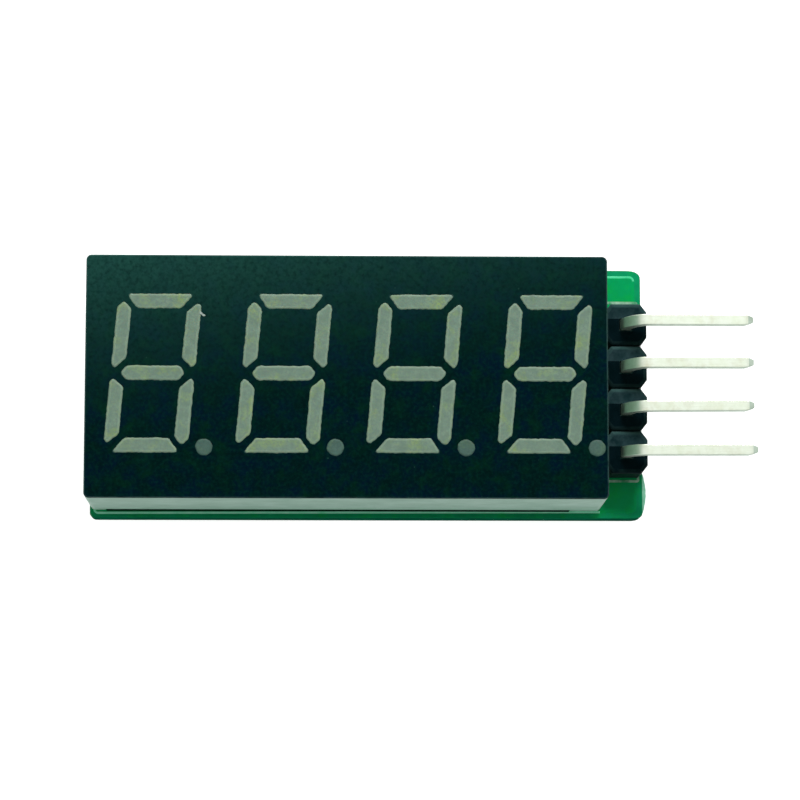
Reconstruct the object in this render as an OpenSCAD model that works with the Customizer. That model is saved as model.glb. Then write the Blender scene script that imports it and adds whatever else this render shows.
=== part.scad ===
// Four digit seven segment display module, in millimetres.
// The origin is the centre of the display's face. +X runs towards the header pins,
// +Y towards the top of the digits and +Z out of the face.

/* [Digits] */
// Number of digits
digit_count = 4; // [2:1:6]
// Distance from one digit to the next
digit_pitch = 7.525; // [7:0.025:9]
// Height of a digit
digit_height = 9.2; // [8.4:0.1:10]
// Width of a digit before it is slanted
digit_width = 4.82; // [4.4:0.02:5.2]
// Slant of the digits, in degrees
digit_slant = 5; // [0:1:8]
// Height of the level segments
bar_thickness = 0.84; // [0.7:0.02:1]
// Width of the upright segments
upright_thickness = 0.8; // [0.7:0.02:0.9]
// Distance of the upright segments' lower tips from the digit's middle line
middle_gap = 0.31; // [0.26:0.01:0.36]
// Gap sideways from an upright segment's tip to the end of the top or bottom segment
bar_gap = 0.47; // [0.4:0.01:0.55]
// Gap sideways from an upright segment's tip to the end of the middle segment
middle_bar_gap = 0.37; // [0.3:0.01:0.45]
// Radius of the decimal point
dot_radius = 0.49; // [0.4:0.01:0.6]
// Clear space between a digit and its decimal point
dot_gap = 0.445; // [0.35:0.005:0.6]
// Height of the decimal point's centre over the foot of the digit
dot_lift = 0.32; // [0.2:0.02:0.6]
// How far the row of digits lies above the middle of the face
digits_raised = 0.17; // [0:0.01:0.4]

/* [Segment ends] */
// Distance from an upright segment's outer side to its tip
tip_inset = 0.19; // [0.12:0.01:0.26]
// Drop from that tip to the outer shoulder
outer_drop = 0.18; // [0.1:0.01:0.26]
// Drop from that tip to the inner shoulder
inner_drop = 0.54; // [0.4:0.01:0.6]
// The same inset at the two wide ends, which are upper left and lower right
wide_tip_inset = 0.34; // [0.3:0.01:0.4]
// Outer drop at a wide end
wide_outer_drop = 0.37; // [0.3:0.01:0.42]
// Inner drop at a wide end
wide_inner_drop = 0.5; // [0.4:0.01:0.6]
// How much higher a wide end's tip stands
wide_tip_rise = 0.13; // [0:0.01:0.16]
// Slope of the level segments' ends, sideways over the bar's height
bar_end_run = 0.48; // [0.3:0.01:0.6]
// Slope of the middle segment's points
middle_end_run = 0.35; // [0.25:0.01:0.45]

/* [Display housing] */
// Depth of the housing, across the digits
display_depth = 14.1; // [13.2:0.1:17]
// Height of the display, from the board to its face
display_height = 7.2; // [6.4:0.1:9]
// Face left of the first digit
left_margin = 1.08; // [0.6:0.02:2]
// Face right of the last decimal point
right_margin = 0.17; // [0.1:0.01:1]
// Radius of the housing's upright corners
housing_corner_radius = 0.3; // [0.1:0.05:0.6]
// Wall around the open back
housing_wall = 0.65; // [0.55:0.05:0.9]
// Height of the feet under the skirt
foot_height = 0.5; // [0.3:0.05:0.8]
// Length of the two left feet
left_foot_length = 0.8; // [0.7:0.05:2]
// Length of the two right feet
right_foot_length = 1.7; // [0.7:0.05:2.5]
// Depth of every foot
foot_depth = 1.6; // [0.7:0.05:2.5]
// Thickness of the black face layer
mask_thickness = 0.1; // [0.06:0.01:0.2]

/* [Display inside] */
// Thickness of the inner circuit board
substrate_thickness = 1; // [0.6:0.1:1.2]
// Gap of epoxy around the inner circuit board
substrate_clearance = 0.15; // [0.1:0.01:0.3]
// Empty height behind the inner circuit board
back_recess = 0.9; // [0.5:0.05:1.2]
// Epoxy between the housing's deck and the inner circuit board
epoxy_layer = 0.3; // [0.25:0.01:0.5]
// How far the epoxy lies below the face
epoxy_recess = 0.05; // [0:0.01:0.08]
// Side of a light emitting die
die_side = 0.25; // [0.2:0.01:0.3]
// Height of a light emitting die
die_height = 0.2; // [0.1:0.01:0.22]
// Least distance of a die from the inner circuit board's edge
die_edge_distance = 0.05; // [0.02:0.01:0.2]

/* [Display pins] */
// Number of pins in each of the two rows
row_pin_count = 6; // [4:1:8]
// Distance from pin to pin along a row
display_pin_pitch = 2.54; // [2:0.01:2.6]
// Diameter of a display pin
display_pin_diameter = 0.5; // [0.4:0.01:0.6]
// Distance of a pin row from the housing's long side
pin_row_inset = 1.97; // [1.5:0.01:2.6]
// How far every pin stands out behind the board
stub_length = 1.9; // [1.75:0.05:3]

/* [Carrier board] */
// Thickness of the carrier board
board_thickness = 1.6; // [1:0.1:2]
// Board left of the display
board_left_margin = 0.15; // [0.05:0.05:2]
// Board right of the display
board_right_margin = 2.65; // [2.4:0.05:5]
// Board above and below the display
board_side_margin = 0.45; // [0.2:0.05:2]
// Radius of the board's corners
board_corner_radius = 0.65; // [0.3:0.05:1.2]
// Clearance of the board's holes around the pins
hole_clearance = 0.2; // [0.1:0.01:0.25]
// Half length of the broken tab on the right edge
tab_half_length = 1.2; // [0.8:0.05:2]
// How far the broken tab stands out
tab_height = 0.25; // [0.1:0.05:0.4]
// Distance of the broken tab's middle from the board's lower edge
tab_position = 1.5; // [1.3:0.05:3]

/* [Header] */
// Number of header pins
header_pins = 4; // [2:1:5]
// Distance from header pin to header pin
header_pitch = 2.54; // [2:0.01:2.54]
// Width of the header's insulator
insulator_width = 2.54; // [2:0.01:3]
// Height of the header's insulator
insulator_height = 2.54; // [2:0.01:3]
// Gap between the display and the insulator
insulator_gap = 0.23; // [0.1:0.01:0.6]
// Corner cut of an insulator unit, along the header
corner_cut_length = 0.5; // [0.3:0.01:0.6]
// Corner cut of an insulator unit, across the header
corner_cut_width = 0.39; // [0.3:0.01:0.6]
// Side of the square header pins
header_pin_side = 0.64; // [0.5:0.01:0.7]
// Clearance of the board's holes around the square pins' corners
header_hole_clearance = 0.05; // [0.03:0.01:0.1]
// Inner radius of the header pins' bend
bend_inner_radius = 0.9; // [0.3:0.02:1]
// Reach of the header pins, from the insulator's middle to the tips
header_reach = 7.4; // [5:0.05:12]
// Extra reach of the last pin, which was pushed further through
last_pin_extra = 0.19; // [0:0.01:0.4]
// Length of a header pin's tapered tip
pin_tip_length = 0.55; // [0.3:0.01:0.8]
// Width of a header pin's tip
pin_tip_width = 0.35; // [0.2:0.01:0.45]

/* [Driver circuit] */
// Leads on each side of the driver circuit
leads_on_side = 8; // [4:1:8]
// Distance from lead to lead
lead_pitch = 1.27; // [1:0.01:1.3]
// Plastic beyond the last lead
driver_end_margin = 0.505; // [0.4:0.005:0.8]
// Clear space between the driver circuit's solder and that of the display pins
driver_clearance = 1.03; // [0.5:0.01:1.4]
// Height of the driver circuit's body
driver_height = 1.45; // [1.2:0.05:1.5]
// Gap under the driver circuit's body
driver_standoff = 0.15; // [0.05:0.05:0.2]
// How far the body's sides slope in, from the parting line
driver_draft = 0.09; // [0.05:0.01:0.2]
// Width of a lead
lead_width = 0.41; // [0.3:0.01:0.5]
// Thickness of a lead
lead_thickness = 0.2; // [0.15:0.01:0.25]
// Reach of a lead beyond the body
lead_reach = 1.05; // [0.9:0.05:1.2]
// Length of a lead's foot
lead_foot_length = 0.5; // [0.35:0.05:0.6]
// Length of a lead inside the body
lead_root_length = 0.4; // [0.3:0.05:0.6]
// Distance of the driver circuit's middle left of the display's middle
driver_offset = 3; // [2:0.1:5]
// Radius of the dimple by the first lead
dimple_radius = 0.35; // [0.2:0.05:0.5]
// Depth of the dimple by the first lead
dimple_depth = 0.06; // [0.03:0.01:0.1]

/* [Chip parts] */
// Length of a chip resistor and of the small capacitor
small_chip_length = 1.6; // [1:0.05:2]
// Width of a chip resistor and of the small capacitor
small_chip_width = 0.8; // [0.5:0.05:1]
// Length of the large capacitor
large_chip_length = 2; // [1.6:0.05:2.4]
// Width of the large capacitor
large_chip_width = 1.25; // [0.8:0.05:1.4]
// Height of a chip resistor
resistor_height = 0.5; // [0.3:0.05:0.6]
// Height of a chip capacitor
capacitor_height = 0.8; // [0.5:0.05:1]
// Length of a chip's metal ends
chip_end_length = 0.35; // [0.2:0.01:0.4]
// Clear space between the driver circuit and the first chips
chip_spacing = 1.6; // [1.2:0.05:2]
// Distance of the resistors from the board's middle line
resistor_side_shift = 1.9; // [1.5:0.05:2.2]

/* [Solder] */
// Width of the solder ring around a hole
solder_ring = 0.35; // [0.2:0.01:0.4]
// Height of a solder cone
solder_cone_height = 0.75; // [0.4:0.05:1]
// Flat top of a solder cone around a square pin
solder_top_margin = 0.02; // [0.01:0.01:0.05]
// Reach of the solder at a lead or at a chip's end
solder_toe = 0.25; // [0.1:0.01:0.3]

/* [Hidden] */
$fn = 48;
slant_run = tan(digit_slant);
half_width = digit_width / 2;
half_height = digit_height / 2;
bar_middle = half_height - bar_thickness / 2;
upright_middle = half_width - upright_thickness / 2;
// A level segment ends one gap before the upright segments' tips.
bar_half_length = half_width - tip_inset - bar_gap;
middle_half_length = half_width - tip_inset - middle_bar_gap;
upright_tip = half_height - bar_thickness + middle_gap;

dot_y = dot_lift - half_height;
dot_x = half_width + dot_gap + dot_radius + slant_run * dot_y;
first_digit_inset = half_width + slant_run * half_height + left_margin;
last_digit_inset = dot_x + dot_radius + right_margin;
display_length = first_digit_inset + (digit_count - 1) * digit_pitch + last_digit_inset;
half_length = display_length / 2;
first_digit_x = first_digit_inset - half_length;

board_front = -display_height;
board_back = board_front - board_thickness;
stub_end = board_back - stub_length;
skirt_end = board_front + foot_height;
substrate_back = skirt_end + back_recess;
substrate_front = substrate_back + substrate_thickness;
deck_back = substrate_front + epoxy_layer;
pocket_length = display_length - 2 * housing_wall;
pocket_depth = display_depth - 2 * housing_wall;
substrate_length = pocket_length - 2 * substrate_clearance;
substrate_depth = pocket_depth - 2 * substrate_clearance;
// The dies of the decimal points move in where the inner board ends short of the last point.
last_dot_x = half_length - right_margin - dot_radius;
dot_die_limit = substrate_length / 2 - die_side / 2 - die_edge_distance;
dot_die_shift = max(0, last_dot_x - dot_die_limit);

display_pin_radius = display_pin_diameter / 2;
display_pin_count = 2 * row_pin_count;
pin_row_y = display_depth / 2 - pin_row_inset;
pin_chamfer = display_pin_radius / 2;

board_left = -half_length - board_left_margin;
board_right = half_length + board_right_margin;
board_length = board_right - board_left;
board_depth = display_depth + 2 * board_side_margin;

header_x = half_length + insulator_gap + insulator_width / 2;
insulator_top = board_front + insulator_height;
pin_half_diagonal = header_pin_side * sqrt(2) / 2;
header_hole_radius = pin_half_diagonal + header_hole_clearance;

// The driver circuit fills the space between the two rows of display pins.
display_hole_radius = display_pin_radius + hole_clearance;
display_pad_radius = display_hole_radius + solder_ring;
lead_tip = pin_row_y - display_pad_radius - driver_clearance - solder_toe;
driver_width = 2 * (lead_tip - lead_reach);
driver_length = (leads_on_side - 1) * lead_pitch + 2 * driver_end_margin;
driver_end_x = driver_length / 2 - driver_offset;
parting_height = driver_standoff + driver_height / 2;
first_chip_x = driver_end_x + chip_spacing;
second_chip_x = first_chip_x + small_chip_width / 2 + large_chip_width / 2 + chip_spacing;
resistor_x = second_chip_x + large_chip_width / 2 + small_chip_length / 2 + chip_spacing;

// A point of a digit, slanted with the digit.
function slanted(p) = [p[0] + slant_run * p[1], p[1]];
function slanted_all(points) = [for (p = points) slanted(p)];
function opposite(points) = [for (p = points) -p];

// The end of an upright segment on the right: inner shoulder, tip and outer shoulder.
// Direction is 1 for an upper end and -1 for a lower one.
function upright_end(tip_y, inset, outer, inner, direction) = [
    [half_width - upright_thickness, tip_y - direction * inner],
    [half_width - inset, tip_y],
    [half_width, tip_y - direction * outer]
];
function plain_end(tip_y, direction) =
    upright_end(tip_y, tip_inset, outer_drop, inner_drop, direction);
function wide_end(tip_y, direction) =
    upright_end(tip_y, wide_tip_inset, wide_outer_drop, wide_inner_drop, direction);
function reversed(points) = [for (i = [len(points) - 1:-1:0]) points[i]];

// The upper and the lower segment on the right of a digit.
upper_right = concat(plain_end(upright_tip, 1), reversed(plain_end(middle_gap, -1)));
lower_right = concat(plain_end(-middle_gap, 1), reversed(wide_end(-upright_tip - wide_tip_rise, -1)));
// The level segment at the top of a digit.
top_bar = [
    [-bar_half_length, half_height],
    [bar_half_length, half_height],
    [bar_half_length - bar_end_run, half_height - bar_thickness],
    [bar_end_run - bar_half_length, half_height - bar_thickness]
];
middle_bar = [
    [-middle_half_length, 0],
    [middle_end_run - middle_half_length, bar_thickness / 2],
    [middle_half_length - middle_end_run, bar_thickness / 2],
    [middle_half_length, 0],
    [middle_half_length - middle_end_run, -bar_thickness / 2],
    [middle_end_run - middle_half_length, -bar_thickness / 2]
];
// A digit looks the same after half a turn, so three outlines give six segments.
SEGMENTS = [
    top_bar, upper_right, lower_right, middle_bar,
    opposite(top_bar), opposite(upper_right), opposite(lower_right)
];
DIE_PLACES = [
    [0, bar_middle], [upright_middle, half_height / 2], [upright_middle, -half_height / 2], [0, 0],
    [0, -bar_middle], [-upright_middle, -half_height / 2], [-upright_middle, half_height / 2]
];

// Places its children at the middle of each digit.
module each_digit() {
    for (i = [0:digit_count - 1])
        translate([first_digit_x + i * digit_pitch, digits_raised, 0]) children();
}

// The outlines of all segments and decimal points, as prisms from one level to another.
module digit_prisms(bottom, top) {
    each_digit() {
        for (outline = SEGMENTS)
            translate([0, 0, bottom]) linear_extrude(top - bottom) polygon(slanted_all(outline));
        translate([dot_x, dot_y, bottom]) cylinder(h = top - bottom, r = dot_radius);
    }
}

// A plate around the origin with round upright corners.
module rounded_plate(length, depth, radius, bottom, top) {
    translate([0, 0, bottom]) linear_extrude(top - bottom) {
        square([length - 2 * radius, depth], center = true);
        square([length, depth - 2 * radius], center = true);
        for (sx = [-1, 1], sy = [-1, 1])
            translate([sx * (length / 2 - radius), sy * (depth / 2 - radius)]) circle(radius);
    }
}

// A block around the origin between two levels.
module block(length, depth, bottom, top) {
    translate([-length / 2, -depth / 2, bottom]) cube([length, depth, top - bottom]);
}

module housing_outline(bottom, top) {
    rounded_plate(display_length, display_depth, housing_corner_radius, bottom, top);
}

// The four feet are the corners of the skirt, carried on down to the board.
module foot_blocks() {
    for (sy = [0, 1]) mirror([0, sy, 0]) {
        translate([-half_length, display_depth / 2 - foot_depth, board_front])
            cube([left_foot_length, foot_depth, foot_height]);
        translate([half_length - right_foot_length, display_depth / 2 - foot_depth, board_front])
            cube([right_foot_length, foot_depth, foot_height]);
    }
}

// Moulded white body: deck with light wells, skirt around the open back, and feet.
module reflector_housing() {
    color("#dfe6df") difference() {
        union() {
            housing_outline(skirt_end, -mask_thickness);
            intersection() {
                housing_outline(board_front, skirt_end);
                foot_blocks();
            }
        }
        block(pocket_length, pocket_depth, board_front - foot_height, deck_back);
        digit_prisms(deck_back, 0);
    }
}

// Black layer on the face, open over every segment and decimal point.
module face_mask() {
    color("#16201e") difference() {
        housing_outline(-mask_thickness, 0);
        digit_prisms(-2 * mask_thickness, mask_thickness);
    }
}

// One pour of cloudy epoxy: the light wells, a layer over the inner board and a rim around it.
module epoxy_fill() {
    color("#8fa394") difference() {
        union() {
            digit_prisms(deck_back, -epoxy_recess);
            block(pocket_length, pocket_depth, substrate_back, deck_back);
        }
        block(substrate_length, substrate_depth, substrate_back, substrate_front);
        dice();
    }
}

// Circuit board inside the display, which carries the dies and the pins.
module inner_circuit_board() {
    color("#c9b87a") difference() {
        block(substrate_length, substrate_depth, substrate_back, substrate_front);
        for (i = [1:display_pin_count])
            at_display_pin(i) translate([0, 0, substrate_back - substrate_thickness])
                cylinder(h = 3 * substrate_thickness, r = display_pin_radius);
    }
}

// Light emitting dies, one under each segment and each decimal point.
module dice() {
    each_digit() {
        for (place = DIE_PLACES)
            translate([slanted(place)[0], place[1], 0]) die();
        translate([dot_x - dot_die_shift, dot_y, 0]) die();
    }
}

module die() {
    block(die_side, die_side, substrate_front, substrate_front + die_height);
}

module led_dice() {
    color("#b03a2e") dice();
}

// Pins are numbered around the display, from the lower left corner.
module at_display_pin(i) {
    lower = i <= row_pin_count;
    column = lower ? i - 1 : display_pin_count - i;
    x = (column - (row_pin_count - 1) / 2) * display_pin_pitch;
    translate([x, lower ? -pin_row_y : pin_row_y, 0]) children();
}

// Round pin from the inner board's front through the carrier board, with a chamfered end.
module display_pin(i) {
    color("#d9dccf") at_display_pin(i) {
        translate([0, 0, stub_end + pin_chamfer])
            cylinder(h = substrate_front - stub_end - pin_chamfer, r = display_pin_radius);
        translate([0, 0, stub_end])
            cylinder(h = pin_chamfer, r1 = display_pin_radius - pin_chamfer, r2 = display_pin_radius);
    }
}

// Left over from the tab that held the board in its panel.
module broken_tab() {
    translate([board_right, tab_position - board_depth / 2]) polygon([
        [-board_corner_radius, -tab_half_length],
        [0, -tab_half_length],
        [tab_height * 0.6, -tab_half_length / 2],
        [tab_height, 0],
        [tab_height * 0.7, tab_half_length / 2],
        [0, tab_half_length],
        [-board_corner_radius, tab_half_length]
    ]);
}

// Carrier board with the holes of the display and of the header.
module carrier_board() {
    color("#0b6b43") difference() {
        union() {
            translate([(board_left + board_right) / 2, 0, 0])
                rounded_plate(board_length, board_depth, board_corner_radius, board_back, board_front);
            translate([0, 0, board_back]) linear_extrude(board_thickness) broken_tab();
        }
        for (i = [1:display_pin_count])
            at_display_pin(i) board_hole(display_hole_radius);
        for (i = [1:header_pins])
            at_header_pin(i) board_hole(header_hole_radius);
    }
}

module board_hole(radius) {
    translate([0, 0, board_back - board_thickness]) cylinder(h = 3 * board_thickness, r = radius);
}

// Header pins are numbered from the top of the board.
function header_pin_y(i) = ((header_pins + 1) / 2 - i) * header_pitch;

module at_header_pin(i) {
    translate([header_x, header_pin_y(i), 0]) children();
}

// One unit of the insulator, square with its corners cut.
module insulator_unit() {
    w = insulator_width / 2;
    l = header_pitch / 2;
    polygon([
        [-w, corner_cut_length - l], [corner_cut_width - w, -l],
        [w - corner_cut_width, -l], [w, corner_cut_length - l],
        [w, l - corner_cut_length], [w - corner_cut_width, l],
        [corner_cut_width - w, l], [-w, l - corner_cut_length]
    ]);
}

// The space of a header pin's leg between two levels.
module pin_channel(bottom, top) {
    block(header_pin_side, header_pin_side, bottom, top);
}

module header_insulator() {
    color("#15191b") difference() {
        translate([0, 0, board_front]) linear_extrude(insulator_height)
            for (i = [1:header_pins]) at_header_pin(i) insulator_unit();
        for (i = [1:header_pins])
            at_header_pin(i) pin_channel(board_back, insulator_top + insulator_height);
    }
}

// Outline of a pin's tapered end, from its full side to the small one.
module tip_outline(length) {
    polygon([
        [0, -header_pin_side / 2], [length, -header_pin_side / 2],
        [length + pin_tip_length, -pin_tip_width / 2], [length + pin_tip_length, pin_tip_width / 2],
        [length, header_pin_side / 2], [0, header_pin_side / 2]
    ]);
}

// A square bar along +X that ends in a tapered tip.
module tipped_bar(length) {
    intersection() {
        translate([0, 0, -header_pin_side]) linear_extrude(2 * header_pin_side) tip_outline(length);
        rotate([90, 0, 0]) translate([0, 0, -header_pin_side])
            linear_extrude(2 * header_pin_side) tip_outline(length);
    }
}

// Square pin: a leg through the insulator and the board, a bend, and a run out to the side.
module header_pin(i) {
    reach = header_reach + (i == header_pins ? last_pin_extra : 0);
    run_start = bend_inner_radius + header_pin_side / 2;
    leg = insulator_top - stub_end - pin_tip_length;
    color("#d9dccf") at_header_pin(i) {
        translate([0, 0, insulator_top]) rotate([0, 90, 0]) tipped_bar(leg);
        translate([run_start, 0, insulator_top]) rotate([90, 0, 0])
            rotate([0, 0, 90]) rotate_extrude(angle = 90)
                translate([bend_inner_radius, -header_pin_side / 2]) square(header_pin_side);
        translate([run_start, 0, insulator_top + run_start])
            tipped_bar(reach - run_start - pin_tip_length);
    }
}

// Places its children on the back of the board, with +Z away from the board.
module on_board_back() {
    translate([0, 0, board_back]) mirror([0, 0, 1]) children();
}

// Six sided outline of the driver circuit's body, widest at the parting line.
module driver_section(width) {
    polygon([
        [driver_draft - width / 2, driver_standoff], [width / 2 - driver_draft, driver_standoff],
        [width / 2, parting_height], [width / 2 - driver_draft, driver_standoff + driver_height],
        [driver_draft - width / 2, driver_standoff + driver_height], [-width / 2, parting_height]
    ]);
}

// Moulded body of the driver circuit, with a dimple by its first lead.
module driver_body() {
    dimple_inset = driver_draft + 2 * dimple_radius;
    color("#1a1c1e") on_board_back() translate([-driver_offset, 0, 0]) difference() {
        intersection() {
            rotate([90, 0, 90]) translate([0, 0, -driver_length])
                linear_extrude(2 * driver_length) driver_section(driver_width);
            rotate([90, 0, 0]) translate([0, 0, -driver_width])
                linear_extrude(2 * driver_width) driver_section(driver_length);
        }
        translate([
            dimple_inset - driver_length / 2, dimple_inset - driver_width / 2,
            driver_standoff + driver_height - dimple_depth
        ]) cylinder(h = 2 * dimple_depth, r = dimple_radius);
        driver_lead_set();
    }
}

// Side view of one lead: root in the body, shoulder, slope and foot on the board.
module lead_section() {
    body_side = driver_width / 2;
    shoulder = body_side + lead_thickness;
    foot_start = lead_tip - lead_foot_length;
    half = lead_thickness / 2;
    polygon([
        [body_side - lead_root_length, parting_height - half], [shoulder - half, parting_height - half],
        [foot_start - half, 0], [lead_tip, 0],
        [lead_tip, lead_thickness], [foot_start + half, lead_thickness],
        [shoulder + half, parting_height + half], [body_side - lead_root_length, parting_height + half]
    ]);
}

// Places its children at each lead, with +Y pointing out of the body.
module each_lead() {
    for (side = [0, 1], k = [0:leads_on_side - 1])
        rotate([0, 0, 180 * side])
            translate([(k - (leads_on_side - 1) / 2) * lead_pitch, 0, 0]) children();
}

module driver_lead_set() {
    each_lead() rotate([90, 0, 90]) translate([0, 0, -lead_width / 2])
        linear_extrude(lead_width) lead_section();
}

module driver_leads() {
    color("#c9cdc6") on_board_back() translate([-driver_offset, 0, 0]) driver_lead_set();
}

// Places its children at each chip, whose length lies along X there.
module at_first_chip() {
    translate([first_chip_x, 0, 0]) rotate([0, 0, 90]) children();
}

module at_second_chip() {
    translate([second_chip_x, 0, 0]) rotate([0, 0, 90]) children();
}

module at_resistor(i) {
    translate([resistor_x, (i == 1 ? 1 : -1) * resistor_side_shift, 0]) children();
}

// Ceramic body of a chip, between its metal ends.
module chip_body(length, width, height) {
    block(length - 2 * chip_end_length, width, 0, height);
}

module chip_ends(length, width, height) {
    for (s = [-1, 1])
        translate([s * (length - chip_end_length) / 2, 0, 0]) block(chip_end_length, width, 0, height);
}

module resistor(i) {
    color("#24272a") on_board_back() at_resistor(i)
        chip_body(small_chip_length, small_chip_width, resistor_height);
}

module small_capacitor() {
    color("#a98a63") on_board_back() at_first_chip()
        chip_body(small_chip_length, small_chip_width, capacitor_height);
}

module large_capacitor() {
    color("#a98a63") on_board_back() at_second_chip()
        chip_body(large_chip_length, large_chip_width, capacitor_height);
}

module resistor_ends() {
    color("#c9cdc6") on_board_back() for (i = [1, 2])
        at_resistor(i) chip_ends(small_chip_length, small_chip_width, resistor_height);
}

module capacitor_ends() {
    color("#c9cdc6") on_board_back() {
        at_first_chip() chip_ends(small_chip_length, small_chip_width, capacitor_height);
        at_second_chip() chip_ends(large_chip_length, large_chip_width, capacitor_height);
    }
}

// Solder that fills a hole of the board and climbs the pin behind it in a hollow cone.
module solder_joint(hole_radius, top_radius, inner_radius) {
    pad_radius = hole_radius + solder_ring;
    steps = 5;
    cone = [for (k = [0:steps]) [
        top_radius + (pad_radius - top_radius) * (1 - sin(90 * k / steps)),
        solder_cone_height * (1 - cos(90 * k / steps))
    ]];
    rotate_extrude() polygon(concat(
        [[inner_radius, -board_thickness], [hole_radius, -board_thickness], [hole_radius, 0]],
        cone,
        top_radius > inner_radius ? [[inner_radius, solder_cone_height]] : []
    ));
}

module display_pin_solder() {
    color("#cdd2ca") for (i = [1:display_pin_count])
        at_display_pin(i) on_board_back()
            solder_joint(display_hole_radius, display_pin_radius, display_pin_radius);
}

module header_pin_solder() {
    color("#cdd2ca") for (i = [1:header_pins]) at_header_pin(i) difference() {
        on_board_back() solder_joint(header_hole_radius, pin_half_diagonal + solder_top_margin, 0);
        pin_channel(stub_end, board_front + board_thickness);
    }
}

// Wedge of solder against an upright end, reaching out along +Y.
module solder_wedge(width, height) {
    rotate([90, 0, 90]) translate([0, 0, -width / 2]) linear_extrude(width)
        polygon([[0, 0], [solder_toe, 0], [solder_toe / 3, height / 3], [0, height]]);
}

module driver_solder() {
    color("#cdd2ca") on_board_back() translate([-driver_offset, 0, 0])
        each_lead() translate([0, lead_tip, 0]) solder_wedge(lead_width, lead_thickness);
}

module chip_end_solder(length, width, height) {
    for (s = [0, 1]) rotate([0, 0, 180 * s])
        translate([length / 2, 0, 0]) rotate([0, 0, -90]) solder_wedge(width, height * 0.7);
}

module chip_solder() {
    color("#cdd2ca") on_board_back() {
        for (i = [1, 2])
            at_resistor(i) chip_end_solder(small_chip_length, small_chip_width, resistor_height);
        at_first_chip() chip_end_solder(small_chip_length, small_chip_width, capacitor_height);
        at_second_chip() chip_end_solder(large_chip_length, large_chip_width, capacitor_height);
    }
}

reflector_housing();
face_mask();
epoxy_fill();
inner_circuit_board();
led_dice();
for (i = [1:display_pin_count])
    display_pin(i);
carrier_board();
header_insulator();
for (i = [1:header_pins])
    header_pin(i);
driver_body();
driver_leads();
resistor(1);  // resistor_1
resistor(2);  // resistor_2
small_capacitor();
large_capacitor();
resistor_ends();
capacitor_ends();
display_pin_solder();
header_pin_solder();
driver_solder();
chip_solder();
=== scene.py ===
"""Dresses the four digit display module and sets it on a pale table under soft light."""

import logging
import math
from abc import ABC, abstractmethod
from dataclasses import dataclass, field, replace
from enum import Enum
from typing import Iterable, Sequence

import bmesh
import bpy
from mathutils import Matrix, Vector, noise


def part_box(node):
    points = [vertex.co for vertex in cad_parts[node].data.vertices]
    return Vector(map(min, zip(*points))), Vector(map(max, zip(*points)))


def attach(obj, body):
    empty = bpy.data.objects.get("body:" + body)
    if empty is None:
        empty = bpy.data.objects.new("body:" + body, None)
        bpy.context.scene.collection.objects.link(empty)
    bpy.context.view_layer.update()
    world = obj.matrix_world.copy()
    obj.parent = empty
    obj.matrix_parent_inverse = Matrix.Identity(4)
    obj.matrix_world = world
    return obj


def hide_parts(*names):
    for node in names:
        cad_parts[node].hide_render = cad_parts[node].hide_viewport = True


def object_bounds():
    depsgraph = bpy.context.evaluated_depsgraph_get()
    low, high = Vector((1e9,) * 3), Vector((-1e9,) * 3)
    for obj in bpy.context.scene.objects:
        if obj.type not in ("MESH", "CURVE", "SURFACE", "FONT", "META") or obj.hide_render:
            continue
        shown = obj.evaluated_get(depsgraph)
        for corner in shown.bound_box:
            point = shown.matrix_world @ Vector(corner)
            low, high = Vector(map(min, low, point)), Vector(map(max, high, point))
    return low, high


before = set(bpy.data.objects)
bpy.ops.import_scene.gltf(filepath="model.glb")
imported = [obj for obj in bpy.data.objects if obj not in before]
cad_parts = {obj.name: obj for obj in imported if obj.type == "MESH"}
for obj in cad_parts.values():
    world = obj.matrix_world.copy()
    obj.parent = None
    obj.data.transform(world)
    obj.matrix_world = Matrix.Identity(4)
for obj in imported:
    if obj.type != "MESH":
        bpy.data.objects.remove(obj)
CAD_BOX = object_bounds()

log = logging.getLogger("display_module")

MM = 0.001
# Corners that lie closer than this are one
WELD = 0.5e-6
# The face attribute that marks rounded edges, and what counts as one: in square millimetres, and in metres
ROUNDED = "rounded"
STRIP_AREA = 0.3
STRIP_WIDTH = 0.05 * MM
# Faces whose normals agree better than this lie in one plane
FLAT = 0.99998
# Without a seed of its own, the noise of the window edges would follow the clock
NOISE_SEED = 4
Point2 = tuple[float, float]
Point3 = tuple[float, float, float]
Colour = tuple[int, int, int]
Mesh = bmesh.types.BMesh
Corner = bmesh.types.BMVert
Edge = bmesh.types.BMEdge
Face = bmesh.types.BMFace
Node = bpy.types.Node
Outputs = bpy.types.NodeOutputs
Socket = bpy.types.NodeSocket
Material = bpy.types.Material


class Side(Enum):
    """The two faces of the carrier board."""

    FRONT = 1
    BACK = -1


def linear(colour: Colour) -> tuple[float, float, float, float]:
    """Turns a screen colour into the linear colour that a shader takes.

    Args:
        colour: Red, green and blue from 0 to 255, as seen on a screen.

    Returns:
        The linear colour, with full alpha.
    """
    parts = [c / 255 for c in colour]
    red, green, blue = (p / 12.92 if p <= 0.04045 else ((p + 0.055) / 1.055) ** 2.4 for p in parts)
    return red, green, blue, 1.0


# Shader trees


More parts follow.
